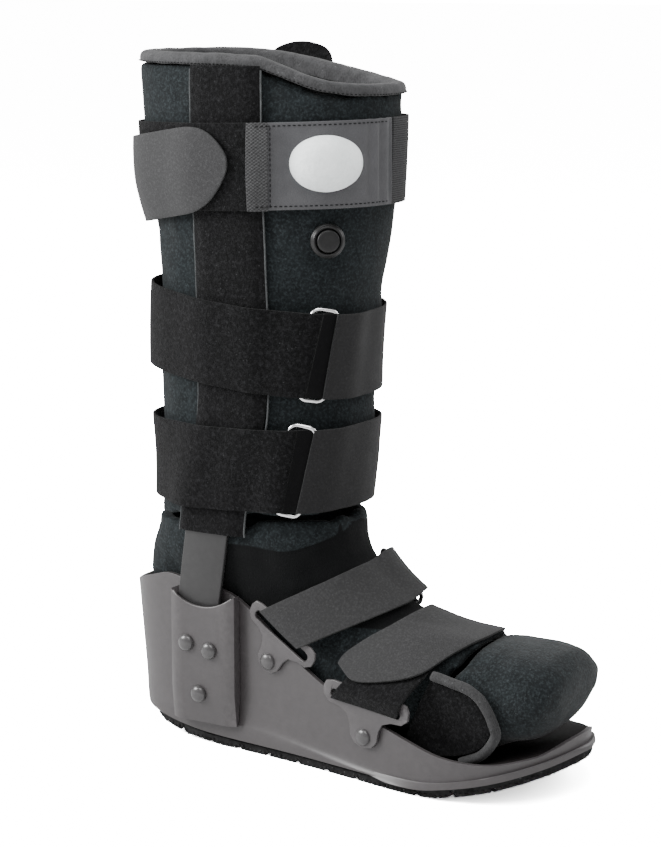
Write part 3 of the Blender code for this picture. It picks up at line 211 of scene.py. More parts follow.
def new_group(name: str, control: str,
              outputs: Sequence[str]) -> tuple[NodeSheet, bpy.types.Node, bpy.types.Node]:
    """Make an empty shader node group that has a Vector and one number in.

    Args:
        name: Name of the group.
        control: Name of the number.
        outputs: Names of its outputs, which are values.

    Returns:
        The sheet to lay nodes on, the input node and the output node.
    """
    tree = bpy.data.node_groups.new(name, "ShaderNodeTree")
    for label, way, kind in (("Vector", "INPUT", "Vector"), (control, "INPUT", "Float"),
                             *((label, "OUTPUT", "Float") for label in outputs)):
        tree.interface.new_socket(name=label, in_out=way, socket_type="NodeSocket" + kind)
    sheet = NodeSheet(tree)
    return sheet, sheet.add("NodeGroupInput"), sheet.add("NodeGroupOutput")


def pattern_group(kind: Pattern) -> bpy.types.NodeTree:
    """Make the node group of a close surface pattern.

    Args:
        kind: Which pattern it is.

    Returns:
        A group with Vector and Pitch in, and Height and Shade out.
    """
    sheet, entry, out = new_group(kind.value, "Pitch", ("Height", "Shade"))
    scale = sheet.add("ShaderNodeVectorMath", operation="DIVIDE")
    spread = sheet.add("ShaderNodeCombineXYZ")
    for axis in range(3):
        sheet.feed(spread.inputs[axis], entry.outputs["Pitch"])
    sheet.feed(scale.inputs[0], entry.outputs["Vector"])
    sheet.feed(scale.inputs[1], spread.outputs[0])
    place = scale.outputs[0]
    if kind is Pattern.PILE:
        fine = sheet.noise(place, 1.0, 3.0, 0.7)
        clumps = sheet.noise(place, 0.28, 2.0, 0.6)
        height = sheet.math("MULTIPLY_ADD", clumps, 0.9)
        sheet.feed(height.node.inputs[2], fine)
        shade = sheet.ramp(sheet.math("ADD", clumps, fine), 0.75, 1.3)
    elif kind in (Pattern.WEAVE, Pattern.RIB):
        parts = sheet.add("ShaderNodeSeparateXYZ")
        sheet.feed(parts.inputs[0], place)
        turn = 2.0 * math.pi
        down = sheet.math("SINE", sheet.math("MULTIPLY", parts.outputs[1], turn))
        across = sheet.math("SINE", sheet.math("MULTIPLY", parts.outputs[0], turn))
        if kind is Pattern.WEAVE:
            wave = sheet.math("MULTIPLY", down, across)
        else:
            wave = sheet.math("MULTIPLY_ADD", across, 0.25)
            sheet.feed(wave.node.inputs[2], down)
        grit = sheet.noise(place, 1.6, 2.0)
        height = sheet.math("MULTIPLY_ADD", wave, 0.35)
        sheet.feed(height.node.inputs[2], grit)
        shade = sheet.ramp(height, 0.9, 0.2)
    elif kind is Pattern.KNIT:
        stretch = sheet.add("ShaderNodeMapping", vector_type="TEXTURE")
        sheet.feed(stretch.inputs["Vector"], place)
        stretch.inputs["Scale"].default_value = (1.0, 1.0, 1.9)
        fine = sheet.noise(stretch.outputs[0], 1.0, 2.0, 0.6)
        blur = sheet.noise(place, 0.16, 2.0)
        height = sheet.math("MULTIPLY_ADD", blur, 0.7)
        sheet.feed(height.node.inputs[2], fine)
        shade = sheet.ramp(sheet.math("ADD", fine, blur), 0.8, 1.25)
    elif kind is Pattern.FELT:
        fine = sheet.noise(place, 1.0, 4.0, 0.75)
        pits = sheet.noise(place, 0.45, 1.0)
        height = sheet.math("ADD", fine, pits)
        shade = sheet.ramp(height, 1.2, 0.7)
    else:
        height = sheet.noise(place, 1.0, 4.0, 0.6)
        shade = sheet.ramp(sheet.noise(place, 0.12, 3.0), 0.35, 0.7)
    sheet.feed(out.inputs["Height"], height)
    sheet.feed(out.inputs["Shade"], shade)
    return sheet.tree


def noise_group(name: str, rough: float, low: float, high: float) -> bpy.types.NodeTree:
    """Group for a mask of noise: Vector and Size in, Mask out.

    Args:
        name: Name of the group.
        rough: Strength of the finer octaves.
        low: Noise that becomes 0.
        high: Noise that becomes 1.

    Returns:
        The group.
    """
    sheet, entry, out = new_group(name, "Size", ("Mask",))
    scale = sheet.math("DIVIDE", 1.0, entry.outputs["Size"])
    value = sheet.noise(entry.outputs["Vector"], scale, 3.0, rough)
    sheet.feed(out.inputs["Mask"], sheet.ramp(value, low, high))
    return sheet.tree


def lint_group() -> bpy.types.NodeTree:
    """Group for scattered pale lint: Vector and Amount in, Mask out."""
    sheet, entry, out = new_group("lint_specks", "Amount", ("Mask",))
    cells = sheet.add("ShaderNodeTexVoronoi", feature="F1")
    sheet.feed(cells.inputs["Vector"], entry.outputs["Vector"])
    cells.inputs["Scale"].default_value = 420.0
    near = sheet.ramp(cells.outputs["Distance"], 0.22, 0.05)
    parts = sheet.add("ShaderNodeSeparateColor")
    sheet.feed(parts.inputs[0], cells.outputs["Color"])
    chosen = sheet.math("GREATER_THAN", parts.outputs[0], 0.82)
    mask = sheet.math("MULTIPLY", near, chosen)
    sheet.feed(out.inputs["Mask"], sheet.math("MULTIPLY", mask, entry.outputs["Amount"], True))
    return sheet.tree


def edge_group() -> bpy.types.NodeTree:
    """Group for rubbed edges: Amount in, Mask out."""
    sheet, entry, out = new_group("rubbed_edge", "Amount", ("Mask",))
    form = sheet.add("ShaderNodeNewGeometry")
    raised = sheet.ramp(form.outputs["Pointiness"], 0.52, 0.60)
    broken = sheet.ramp(sheet.noise(entry.outputs["Vector"], 260.0, 3.0), 0.3, 0.6)
    mask = sheet.math("MULTIPLY", raised, broken)
    sheet.feed(out.inputs["Mask"], sheet.math("MULTIPLY", mask, entry.outputs["Amount"], True))
    return sheet.tree


# Slow change of tone, single paler yarns and fibres, lint, rubbed edges
TONE = noise_group("slow_tone", 0.55, 0.32, 0.68)
FLECK = noise_group("pale_fibres", 0.7, 0.47, 0.70)
LINT = lint_group()
EDGE = edge_group()
PATTERNS = {kind: pattern_group(kind) for kind in Pattern}

Colour = tuple[float, float, float]


@dataclass(frozen=True)
class Panel:
    """Part of a piece with another colour, where an attribute of its mesh has certain values."""

    attribute: str
    none_at: float
    full_at: float
    colour: Colour
    flat: bool = False


@dataclass(frozen=True)
class Finish:
    """One finish of the boot: its colours, its close pattern and how it shines."""

    name: str
    slot: str
    colour: Colour
    second: Colour
    pattern: Pattern
    pitch: float
    depth: float
    roughness: float
    metallic: float = 0.0
    sheen: float = 0.0
    coat: float = 0.0
    contrast: float = 0.5
    lint: float = 0.0
    lint_colour: Colour = (0.30, 0.31, 0.32)
    wear: float = 0.0
    tone_size: float = 0.03
    unrolled: bool = False
    specular: float = 0.5
    fleck: float = 0.0
    fleck_size: float = 0.0016
    panel: Panel | None = None

    def material(self) -> bpy.types.Material:
        """Give the finish's material, made the first time it is asked for."""
        return bpy.data.materials.get(self.name) or self.make()

    def make(self) -> bpy.types.Material:
        """Lay out the finish's shader nodes.

        Returns:
            The new material.
        """
        material = bpy.data.materials.new(self.name)
        material.use_nodes = True
        sheet = NodeSheet(material.node_tree)
        shader = material.node_tree.nodes["Principled BSDF"]
        place = sheet.add("ShaderNodeTexCoord").outputs["Object"]
        cloth = sheet.add("ShaderNodeUVMap", uv_map=UNROLLED).outputs[0] if self.unrolled else place
        tone = sheet.group(TONE, Vector=place, Size=self.tone_size).outputs["Mask"]
        close = sheet.group(PATTERNS[self.pattern], Vector=cloth, Pitch=self.pitch)
        dark = tuple(part * (1.0 - self.contrast) for part in self.colour)
        colour = sheet.mix(tone, (*self.colour, 1.0), (*self.second, 1.0))
        shade = sheet.math("MULTIPLY", close.outputs["Shade"], 0.8)
        colour = sheet.mix(shade, colour, (*dark, 1.0))
        if self.fleck:
            fibres = sheet.group(FLECK, Vector=place, Size=self.fleck_size).outputs["Mask"]
            share = sheet.math("MULTIPLY", fibres, self.fleck)
            pale = tuple(part * 3.4 + 0.003 for part in self.colour)
            colour = sheet.mix(share, colour, (*pale, 1.0))
        if self.lint:
            specks = sheet.group(LINT, Vector=place, Amount=self.lint).outputs["Mask"]
            colour = sheet.mix(specks, colour, (*self.lint_colour, 1.0))
        if self.wear:
            rubbed = sheet.group(EDGE, Vector=place, Amount=self.wear).outputs["Mask"]
            pale = tuple(min(part * 2.2 + 0.03, 1.0) for part in self.colour)
            colour = sheet.mix(rubbed, colour, (*pale, 1.0))
        height = close.outputs["Height"]
        if self.panel:
            where = sheet.add("ShaderNodeAttribute", attribute_name=self.panel.attribute)
            share = sheet.ramp(where.outputs["Fac"], self.panel.none_at, self.panel.full_at)
            colour = sheet.mix(share, colour, (*self.panel.colour, 1.0))
            if self.panel.flat:
                rest = sheet.math("SUBTRACT", 1.0, share)
                height = sheet.math("MULTIPLY", height, rest)
        sheet.feed(shader.inputs["Base Color"], colour)
        rough = sheet.math("MULTIPLY_ADD", tone, 0.12)
        sheet.feed(rough.node.inputs[2], self.roughness - 0.06)
        sheet.feed(shader.inputs["Roughness"], rough)
        bump = sheet.add("ShaderNodeBump")
        bump.inputs["Strength"].default_value = 1.0
        bump.inputs["Distance"].default_value = self.depth
        sheet.feed(bump.inputs["Height"], height)
        sheet.feed(shader.inputs["Normal"], bump.outputs[0])
        shader.inputs["Metallic"].default_value = self.metallic
        shader.inputs["Specular IOR Level"].default_value = self.specular
        shader.inputs["Sheen Weight"].default_value = self.sheen
        shader.inputs["Sheen Roughness"].default_value = 0.45
        shader.inputs["Coat Weight"].default_value = self.coat
        shader.inputs["Coat Roughness"].default_value = 0.2
        return material


UNROLLED = "unrolled"
FROM_END = "from_end"
TONGUE_AND_SHADE = "tongue_and_painted_shade"
SMOOTH_TAPE = (0.0036, 0.0036, 0.0039)
# Painted shade: this near-black is the tongue's own black and also the shade of the recess under
# the leg's flap
TONGUE_BLACK_AND_SHADE = (0.0016, 0.0019, 0.0021)

OUTSOLE = Finish("outsole_crumb", "outsole_rubber", (0.006, 0.006, 0.0065),
                 (0.012, 0.0115, 0.0115), Pattern.GRAIN, 0.0011, 0.0006, 0.85, contrast=0.6,
                 lint=0.4, wear=0.3, specular=0.25)
SHELL = Finish("shell_matte", "shell_plastic", (0.043, 0.039, 0.0403), (0.049, 0.0445, 0.046),
               Pattern.GRAIN, 0.0006, 0.00004, 0.42, contrast=0.08, wear=0.5, tone_size=0.06,
               specular=0.55)
STEEL = Finish("painted_bar", "painted_steel", (0.0175, 0.017, 0.0174), (0.020, 0.0195, 0.0198),
               Pattern.GRAIN, 0.0005, 0.00004, 0.50, contrast=0.08, coat=0.05, wear=0.5,
               specular=0.4)
BRACKET = Finish("painted_bracket", "painted_steel", (0.050, 0.046, 0.0475),
                 (0.057, 0.052, 0.054), Pattern.GRAIN, 0.0005, 0.00004, 0.42, contrast=0.08,
                 coat=0.1, wear=0.6, specular=0.5)
RIVET = Finish("painted_rivet", "painted_steel", (0.040, 0.038, 0.039), (0.048, 0.045, 0.046),
               Pattern.POLISH, 0.0010, 0.00003, 0.32, contrast=0.10, coat=0.3, wear=0.6)
FOAM = Finish("footbed_skin", "footbed_foam", (0.0050, 0.0042, 0.0042), (0.0080, 0.0066, 0.0066),
              Pattern.GRAIN, 0.0016, 0.00008, 0.65, contrast=0.3, tone_size=0.04, specular=0.08)
CLOTH = Finish("liner_knit", "liner_cloth", (0.0072, 0.0094, 0.0103), (0.0110, 0.0142, 0.0155),
               Pattern.KNIT, 0.00090, 0.00025, 0.92, sheen=0.02, contrast=0.5, lint=0.12,
               lint_colour=(0.09, 0.10, 0.105), tone_size=0.02, specular=0.15, fleck=0.8)
# Liner knit whose panel in front of the bar and under the flap seam is painted near-black: black
# tongue plus painted shade
HEEL_CLOTH = replace(CLOTH, name="liner_knit_with_tongue_and_painted_shade",
                     panel=Panel(TONGUE_AND_SHADE, -0.0004, 0.0004, TONGUE_BLACK_AND_SHADE))
TOE_CLOTH = Finish("toe_knit", "liner_cloth", (0.0072, 0.0092, 0.0100), (0.0105, 0.0133, 0.0143),
                   Pattern.KNIT, 0.00095, 0.00028, 0.92, sheen=0.09, contrast=0.5, lint=0.35,
                   lint_colour=(0.10, 0.11, 0.115), tone_size=0.016, specular=0.15, fleck=0.9)
TAPE = Finish("knit_tape", "binding_tape", (0.048, 0.048, 0.050), (0.070, 0.070, 0.072),
              Pattern.KNIT, 0.00080, 0.00028, 0.85, sheen=0.08, contrast=0.5, lint=0.2,
              tone_size=0.010, specular=0.2)
LOOP = Finish("loop_pile", "loop_fabric", (0.0030, 0.0030, 0.0033), (0.0058, 0.0058, 0.0062),
              Pattern.PILE, 0.00085, 0.00070, 0.97, sheen=0.05, contrast=0.8, lint=0.5,
              lint_colour=(0.055, 0.055, 0.058), wear=0.5, tone_size=0.004, specular=0.1,
              fleck=1.0, fleck_size=0.0021)
ENDED_LOOP = replace(LOOP, name="loop_pile_with_smooth_end",
                     panel=Panel(FROM_END, 9.5, 9.0, SMOOTH_TAPE, flat=True))
HOOK = Finish("hook_face", "hook_fabric", (0.0115, 0.0115, 0.0120), (0.0155, 0.0155, 0.0160),
              Pattern.WEAVE, 0.00095, 0.00014, 0.80, sheen=0.04, contrast=0.4, lint=0.12,
              lint_colour=(0.10, 0.10, 0.105), tone_size=0.02, unrolled=True, specular=0.2,
              fleck=0.22, fleck_size=0.0014)
TAB = Finish("hook_tab_face", "hook_fabric", (0.031, 0.031, 0.032), (0.039, 0.039, 0.040),
             Pattern.WEAVE, 0.00095, 0.00016, 0.80, sheen=0.05, contrast=0.4, lint=0.2,
             lint_colour=(0.13, 0.13, 0.135), tone_size=0.012, unrolled=True, specular=0.2,
             fleck=0.22, fleck_size=0.0014)
FOOT_HOOK = Finish("foot_hook_face", "hook_fabric", (0.0250, 0.0250, 0.0256),
                   (0.0310, 0.0310, 0.0316), Pattern.WEAVE, 0.00095, 0.00015, 0.80, sheen=0.05,
                   contrast=0.4, lint=0.15, lint_colour=(0.11, 0.11, 0.115), tone_size=0.016,
                   unrolled=True, specular=0.2,
                   fleck=0.22, fleck_size=0.0014)
POCKET = Finish("pocket_cloth", "hook_fabric", (0.084, 0.084, 0.089), (0.108, 0.108, 0.113),
                Pattern.WEAVE, 0.0007, 0.00014, 0.84, sheen=0.05, contrast=0.4,
                tone_size=0.012, unrolled=True, specular=0.2)
WEBBING = Finish("ribbed_webbing", "hook_fabric", (0.036, 0.036, 0.038), (0.050, 0.050, 0.052),
                 Pattern.RIB, 0.0013, 0.0005, 0.80, contrast=0.75, tone_size=0.01,
                 unrolled=True, specular=0.2)
PATCH = Finish("woven_patch", "hook_fabric", (0.060, 0.060, 0.062), (0.085, 0.085, 0.087),
               Pattern.WEAVE, 0.0019, 0.0006, 0.80, contrast=0.8, tone_size=0.01,
               unrolled=True, specular=0.2)
FLAP_TAPE = replace(TAPE, name="dark_knit_tape", colour=(0.030, 0.030, 0.031),
                    second=(0.048, 0.048, 0.049))
WELT = Finish("welt_cord", "binding_tape", (0.050, 0.053, 0.055), (0.085, 0.089, 0.091),
              Pattern.KNIT, 0.0007, 0.0002, 0.85, sheen=0.1, contrast=0.4, tone_size=0.006,
              specular=0.2)
THREAD = Finish("dark_thread", "loop_fabric", (0.0025, 0.0025, 0.0028), (0.005, 0.005, 0.0054),
                Pattern.KNIT, 0.0003, 0.0001, 0.8, contrast=0.4, specular=0.2)
CHROME = Finish("bright_wire", "chrome", (0.72, 0.72, 0.73), (0.80, 0.80, 0.80),
                Pattern.POLISH, 0.0012, 0.00002, 0.17, metallic=1.0, contrast=0.06)
BULB = Finish("bulb_felt", "bulb_rubber", (0.95, 1.0, 1.0), (0.97, 1.0, 1.0),
              Pattern.FELT, 0.00110, 0.00030, 0.85, sheen=0.05, contrast=0.12, tone_size=0.012)
VALVE = Finish("valve_gloss", "valve_plastic", (0.0032, 0.0032, 0.0035),
               (0.0050, 0.0050, 0.0054), Pattern.GRAIN, 0.0008, 0.00003, 0.45, coat=0.1,
               contrast=0.2, wear=0.15, specular=0.35)


# Mesh work

def activate(thing: bpy.types.Object) -> None:
    """Select one object alone and make it the active one."""
    if bpy.context.object and bpy.context.object.mode != "OBJECT":
        bpy.ops.object.mode_set(mode="OBJECT")
    bpy.ops.object.select_all(action="DESELECT")
    thing.select_set(True)
    bpy.context.view_layer.objects.active = thing


def apply_all(thing: bpy.types.Object) -> None:
    """Apply an object's modifiers in their order."""
    activate(thing)
    for name in [modifier.name for modifier in thing.modifiers]:
        bpy.ops.object.modifier_apply(modifier=name)


def points_of(thing: bpy.types.Object, kind: str = "co") -> np.ndarray:
    """Give the vertices of a mesh object, or their normals, as an array."""
    flat = np.empty(len(thing.data.vertices) * 3)
    thing.data.vertices.foreach_get(kind, flat)
    return flat.reshape(-1, 3)


def set_points(thing: bpy.types.Object, points: np.ndarray) -> None:
    """Write an array of vertices back to a mesh object."""
    thing.data.vertices.foreach_set("co", points.astype(float).ravel())
    thing.data.update()


def push_out(thing: bpy.types.Object, rise: np.ndarray) -> None:
    """Move each vertex of a mesh object outwards by its own distance."""
    set_points(thing, points_of(thing) + points_of(thing, "normal") * rise[:, None])


def keep_values(thing: bpy.types.Object, name: str, values: np.ndarray) -> None:
    """Store one number a vertex as an attribute of a mesh object."""
    thing.data.attributes.new(name, "FLOAT", "POINT").data.foreach_set("value", values)


def edit_all(thing: bpy.types.Object, *steps: Callable[[], object]) -> None:
    """Run mesh operators in edit mode, each on the whole of a piece."""
    activate(thing)
    bpy.ops.object.mode_set(mode="EDIT")
    for step in steps:
        bpy.ops.mesh.select_all(action="SELECT")
        step()
    bpy.ops.object.mode_set(mode="OBJECT")


def mesh_object(name: str, points: Iterable[Sequence[float]],
                faces: Iterable[Sequence[int]]) -> bpy.types.Object:
    """Make a mesh object from points and faces.

    Args:
        name: Name of the piece.
        points: Its vertices.
        faces: Its faces as vertex numbers.

    Returns:
        The new object.
    """
    mesh = bpy.data.meshes.new(name)
    mesh.from_pydata([tuple(p) for p in points], [], [tuple(f) for f in faces])
    thing = bpy.data.objects.new(name, mesh)
    bpy.context.scene.collection.objects.link(thing)
    return thing


def copy_node(node: str, name: str) -> bpy.types.Object:
    """Copy a CAD node's mesh, merged by distance and with its triangles joined to quads.

    Args:
        node: Name of the CAD node.
        name: Name of the new piece.

    Returns:
        The new object.
    """
    thing = bpy.data.objects.new(name, frame["nodes"][node].data.copy())
    thing.data.materials.clear()
    bpy.context.scene.collection.objects.link(thing)
    edit_all(thing, lambda: bpy.ops.mesh.remove_doubles(threshold=MERGE),
             lambda: bpy.ops.mesh.tris_convert_to_quads(face_threshold=math.radians(25.0),
                                                        shape_threshold=math.radians(60.0)))
    return thing


def bevel(thing: bpy.types.Object, width: float, segments: int = 2,
          degrees: float = 40.0) -> None:
    """Add a bevel on the edges that are sharper than an angle.

    Args:
        thing: The piece.
        width: Width of the bevel.
        segments: Faces across it.
        degrees: Angle limit.
    """
    rounding = thing.modifiers.new("Bevel", "BEVEL")
    rounding.width = width
    rounding.segments = segments
    rounding.limit_method = "ANGLE"
    rounding.angle_limit = math.radians(degrees)


def subdivide(thing: bpy.types.Object, levels: int) -> None:
    """Add a subdivision surface with the same level in view and in render."""
    surface = thing.modifiers.new("Subdivision", "SUBSURF")
    surface.levels = levels
    surface.render_levels = levels


def crease_rims(thing: bpy.types.Object) -> None:
    """Crease the sharp edges, so that a subdivision rounds an outline and keeps its rim."""
    work = bmesh.new()
    work.from_mesh(thing.data)
    layer = work.edges.layers.float.get("crease_edge") or work.edges.layers.float.new("crease_edge")
    for edge in work.edges:
        if len(edge.link_faces) == 2 and edge.calc_face_angle() > RIM_ANGLE:
            edge[layer] = 1.0
    work.to_mesh(thing.data)
    work.free()


def smooth(thing: bpy.types.Object, degrees: float = 180.0) -> None:
    """Shade a piece smooth, with edges sharper than an angle kept sharp."""
    activate(thing)
    if degrees >= 180.0:
        bpy.ops.object.shade_smooth()
    else:
        bpy.ops.object.shade_smooth_by_angle(angle=math.radians(degrees))


def dress(thing: bpy.types.Object, finish: Finish, body: str = BOOT_BODY,
          nodes: Sequence[str] = ()) -> bpy.types.Object:
    """Give a finished piece its material and body, and hide the nodes that it stands for.

    Args:
        thing: The piece.
        finish: Its finish.
        body: CAD body that it rides on.
        nodes: CAD nodes that it replaces.

    Returns:
        The piece.
    """
    thing.data.materials.clear()
    thing.data.materials.append(finish.material())
    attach(thing, body)
    if nodes:
        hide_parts(*nodes)
    LOG.info("%s: %d faces", thing.name, len(thing.data.polygons))
    return thing


def tree_of(*names: str) -> BVHTree:
    """Search tree of the shapes of CAD nodes or of finished pieces.

    Args:
        names: Names of the nodes or pieces.

    Returns:
        One tree for all of them.
    """
    points: list[tuple[float, ...]] = []
    faces: list[tuple[int, ...]] = []
    for name in names:
        thing = frame["nodes"][name] if name in frame["nodes"] else bpy.data.objects[name]
        base = len(points)
        points += [tuple(v.co) for v in thing.data.vertices]
        faces += [tuple(base + v for v in face.vertices) for face in thing.data.polygons]
    return BVHTree.FromPolygons(points, faces)


@dataclass(frozen=True)
class WrapPlane:
    """A plane that holds the Y axis and leans along X, which a strap's line lies in."""

    x: float
    z: float
    lean: float

    def along(self) -> Vector:
        """Direction in the plane that an angle of 0 points to."""
        return Vector((math.cos(math.radians(self.lean)), 0.0, math.sin(math.radians(self.lean))))

    def direction(self, angle: float) -> Vector:
        """Direction in the plane at an angle in degrees, -90 being the near side."""
        turn = math.radians(angle)
        return self.along() * math.cos(turn) + Vector((0.0, math.sin(turn), 0.0))

    def origin(self) -> Vector:
        """Point of the plane that angles are measured round."""
        return Vector((self.x, 0.0, self.z))

    def reach(self, tree: BVHTree, angle: float) -> float | None:
        """Distance of the outermost surface from the plane's origin at an angle.

        Args:
            tree: What is wrapped.
            angle: Angle in degrees.

        Returns:
            The distance, or None where there is nothing.
        """
        way = self.direction(angle)
        far = 0.4
        hit, _, _, run = tree.ray_cast(self.origin() + way * far, -way, far)
        return None if hit is None else far - run

    def unroll(self, point: Vector, radius: float) -> tuple[float, float]:
        """Place of a point on the flat band, in metres along and across it.

        Args:
            point: The point.
            radius: Radius that turns the angle into a length.

        Returns:
            Length along and width across.
        """
        away = point - self.origin()
        along = self.along()
        normal = along.cross(Vector((0.0, 1.0, 0.0)))
        return math.atan2(away.y, away @ along) * radius, away @ normal


def unroll(thing: bpy.types.Object, plane: WrapPlane, radius: float = 0.055) -> None:
    """Give a piece a UV map that follows its wrap, in metres.

    Args:
        thing: The piece.
        plane: Plane that it is wrapped in.
        radius: Radius that turns the angle into a length.
    """
    mesh = thing.data
    while mesh.uv_layers:
        mesh.uv_layers.remove(mesh.uv_layers[0])
    layer = mesh.uv_layers.new(name=UNROLLED)
    flat = [plane.unroll(v.co, radius) for v in mesh.vertices]
    limit = math.pi * radius
    for face in mesh.polygons:
        first = flat[mesh.loops[face.loop_start].vertex_index][0]
        for loop in face.loop_indices:
            u, v = flat[mesh.loops[loop].vertex_index]
            if u - first > limit:
                u -= 2.0 * limit
            if first - u > limit:
                u += 2.0 * limit
            layer.data[loop].uv = (u, v)


def leg_plane(share: float, lean: float) -> WrapPlane:
    """Plane of a leg strap's lower edge.

    Args:
        share: Height of the edge as a share of the liner's height.
        lean: Lean in degrees.

    Returns:
        The plane.
    """
    return WrapPlane(LEG_CENTRE_X, share * LINER_HEIGHT, lean)


def pocket_plane(share: float) -> WrapPlane:
    """Plane at a share of the way up the top strap."""
    return replace(TOP_LOW, z=TOP_LOW.z + STRAP_WIDTH * share)


TOP_LOW = leg_plane(0.7983, 2.0)
MID_LOW = leg_plane(0.5482, -5.0)
LOW_LOW = leg_plane(0.3682, 1.5)
TAB_PLANE = WrapPlane(LEG_CENTRE_X, 0.368, 10.0)
INSTEP_PLANE = WrapPlane(-0.0305, 0.0903, 27.5)
TOE_PLANE = WrapPlane(0.0025, 0.0517, 36.5)
TOE_LOOP_PLANE = WrapPlane(0.0265, 0.0506, 57.0)


def waves(points: np.ndarray, size: float, seed: float = 0.0) -> np.ndarray:
    """Smooth noise from -1 to 1 at each point.

    Args:
        points: Where it is read.
        size: Distance over which it changes.
        seed: Shift that gives another draw.

    Returns:
        One value a point.
    """
    return np.array([noise.noise(Vector(p) / size + Vector((seed, seed * 1.7, -seed)))
                     for p in points])


def nearest_on(points: np.ndarray, runs: np.ndarray) -> tuple[np.ndarray, np.ndarray]:
    """Nearest point on a set of straight runs for each point.

    Args:
        points: The points.
        runs: Start and end of each run.

    Returns:
        The distances and the nearest points.
    """
    best = np.full(len(points), np.inf)
    nearest = points.copy()
    for start, end in runs:
        run = end - start
        share = np.clip((points - start) @ run / max(run @ run, 1e-12), 0.0, 1.0)
        on_line = start + share[:, None] * run
        away = np.linalg.norm(points - on_line, axis=1)
        closer = away < best
        best[closer] = away[closer]
        nearest[closer] = on_line[closer]
    return best, nearest


def spots_along(line: np.ndarray, places: np.ndarray) -> np.ndarray:
    """Points of a line at given lengths from its start."""
    return np.column_stack([np.interp(places, lengths_of(line), line[:, a]) for a in range(3)])


def lengths_of(line: np.ndarray) -> np.ndarray:
    """Length of a line up to each of its points."""
    return np.concatenate(([0.0], np.cumsum(np.linalg.norm(np.diff(line, axis=0), axis=1))))


def curve_through(path: Sequence[Sequence[float]], steps: int = 6) -> np.ndarray:
    """Smooth line through points.

    Args:
        path: The points.
        steps: Points put into each stretch.

    Returns:
        The points of the smooth line.
    """
    rows = np.asarray(path, dtype=float)
    rows = np.vstack((2.0 * rows[0] - rows[1], rows, 2.0 * rows[-1] - rows[-2]))
    line = []
    for i in range(1, len(rows) - 2):
        p0, p1, p2, p3 = rows[i - 1:i + 3]
        for k in range(steps):
            f = k / steps
            line.append(0.5 * (2.0 * p1 + (p2 - p0) * f + (2.0 * p0 - 5.0 * p1 + 4.0 * p2 - p3)
                               * f * f + (3.0 * p1 - p0 - 3.0 * p2 + p3) * f ** 3))
    line.append(rows[-2])
    return np.array(line)


def tube(name: str, path: Sequence[Sequence[float]], radius: float, closed: bool = False,
         sides: int = 3) -> bpy.types.Object:
    """Round cord along a line, as a mesh.

    Args:
        name: Name of the piece.
        path: Points of its middle line.
        radius: Its radius.
        closed: Whether its ends meet.
        sides: Resolution of its section.

    Returns:
        The new object.
    """
    curve = bpy.data.curves.new(name, "CURVE")
    curve.dimensions = "3D"
    spline = curve.splines.new("POLY")
    spline.points.add(len(path) - 1)
    for target, p in zip(spline.points, path):
        target.co = (*p, 1.0)
    spline.use_cyclic_u = closed
    curve.bevel_depth = radius
    curve.bevel_resolution = sides
    curve.use_fill_caps = not closed
    thing = bpy.data.objects.new(name, curve)
    bpy.context.scene.collection.objects.link(thing)
    activate(thing)
    bpy.ops.object.convert(target="MESH")
    smooth(bpy.context.object)
    return bpy.context.object


def turned(name: str, profile: Sequence[tuple[float, float]], steps: int = 40) -> bpy.types.Object:
    """Turned piece about the Z axis, spun from its profile in edit mode.

    Args:
        name: Name of the piece.
        profile: Radius and height of the points of its outline, from the top to the foot.
        steps: Faces round it.

    Returns:
        The new object, with its foot at the origin.
    """
    mesh = bpy.data.meshes.new(name)
    mesh.from_pydata([(r, 0.0, z) for r, z in profile],
                     [(i, i + 1) for i in range(len(profile) - 1)], [])
    thing = bpy.data.objects.new(name, mesh)
    bpy.context.scene.collection.objects.link(thing)
    edit_all(thing, lambda: bpy.ops.mesh.spin(steps=steps, angle=2.0 * math.pi,
                                              center=(0.0, 0.0, 0.0), axis=(0.0, 0.0, 1.0)),
             lambda: bpy.ops.mesh.remove_doubles(threshold=MERGE),
             lambda: bpy.ops.mesh.normals_make_consistent(inside=False))
    return thing


def facing(axis: Vector, centre: Vector) -> Matrix:
    """Matrix that turns local Z to an axis and moves the origin to a place."""
    return Matrix.Translation(centre) @ axis.to_track_quat("Z", "X").to_matrix().to_4x4()


def principal(points: np.ndarray) -> tuple[np.ndarray, np.ndarray]:
    """Middle of a cloud of points and its directions, longest first."""
    middle = (points.max(axis=0) + points.min(axis=0)) / 2.0
    _, _, axes = np.linalg.svd(points - points.mean(axis=0), full_matrices=False)
    return middle, axes


@dataclass(frozen=True)
class View:
    """The photograph's camera and the points of the boot that its pixels show."""

    place: tuple[float, float, float] = (0.7049, -1.2277, 0.4824)
    target: tuple[float, float, float] = (-0.07903, 0.07695, 0.18930)
    lens: float = 100.3
    width: float = 661.0
    height: float = 847.0
    sensor: float = 36.0

    def matrix(self) -> Matrix:
        """Matrix of the camera."""
        return looking(self.place, self.target)

    def seen(self, tree: BVHTree, pixels: Sequence[tuple[float, float]],
             lift: float = 0.0) -> np.ndarray:
        """Points of a surface that lie behind pixels, as a smooth line.

        Args:
            tree: The surface.
            pixels: Pixels of the photograph, from its upper left corner.
            lift: How far the points stand off the surface.

        Returns:
            Points of the line, without those that miss the surface.
        """
        turn = self.matrix().to_3x3()
        focal = self.lens / self.sensor * self.height
        found = []
        for x, y in curve_through([(x, y, 0.0) for x, y in pixels], 8)[:, :2]:
            ray = turn @ Vector((x - self.width / 2.0, self.height / 2.0 - y, -focal))
            hit, normal, _, _ = tree.ray_cast(Vector(self.place), ray.normalized())
            if hit is not None:
                found.append(np.array(hit - ray.normalized() * lift))
        return np.array(found)


VIEW = View()


def looking(place: Sequence[float], target: Sequence[float]) -> Matrix:
    """Matrix of a camera or lamp at a place that looks at a target."""
    way = Vector(target) - Vector(place)
    turn = way.to_track_quat("-Z", "Y").to_matrix().to_4x4()
    return Matrix.Translation(Vector(place)) @ turn


# Pieces

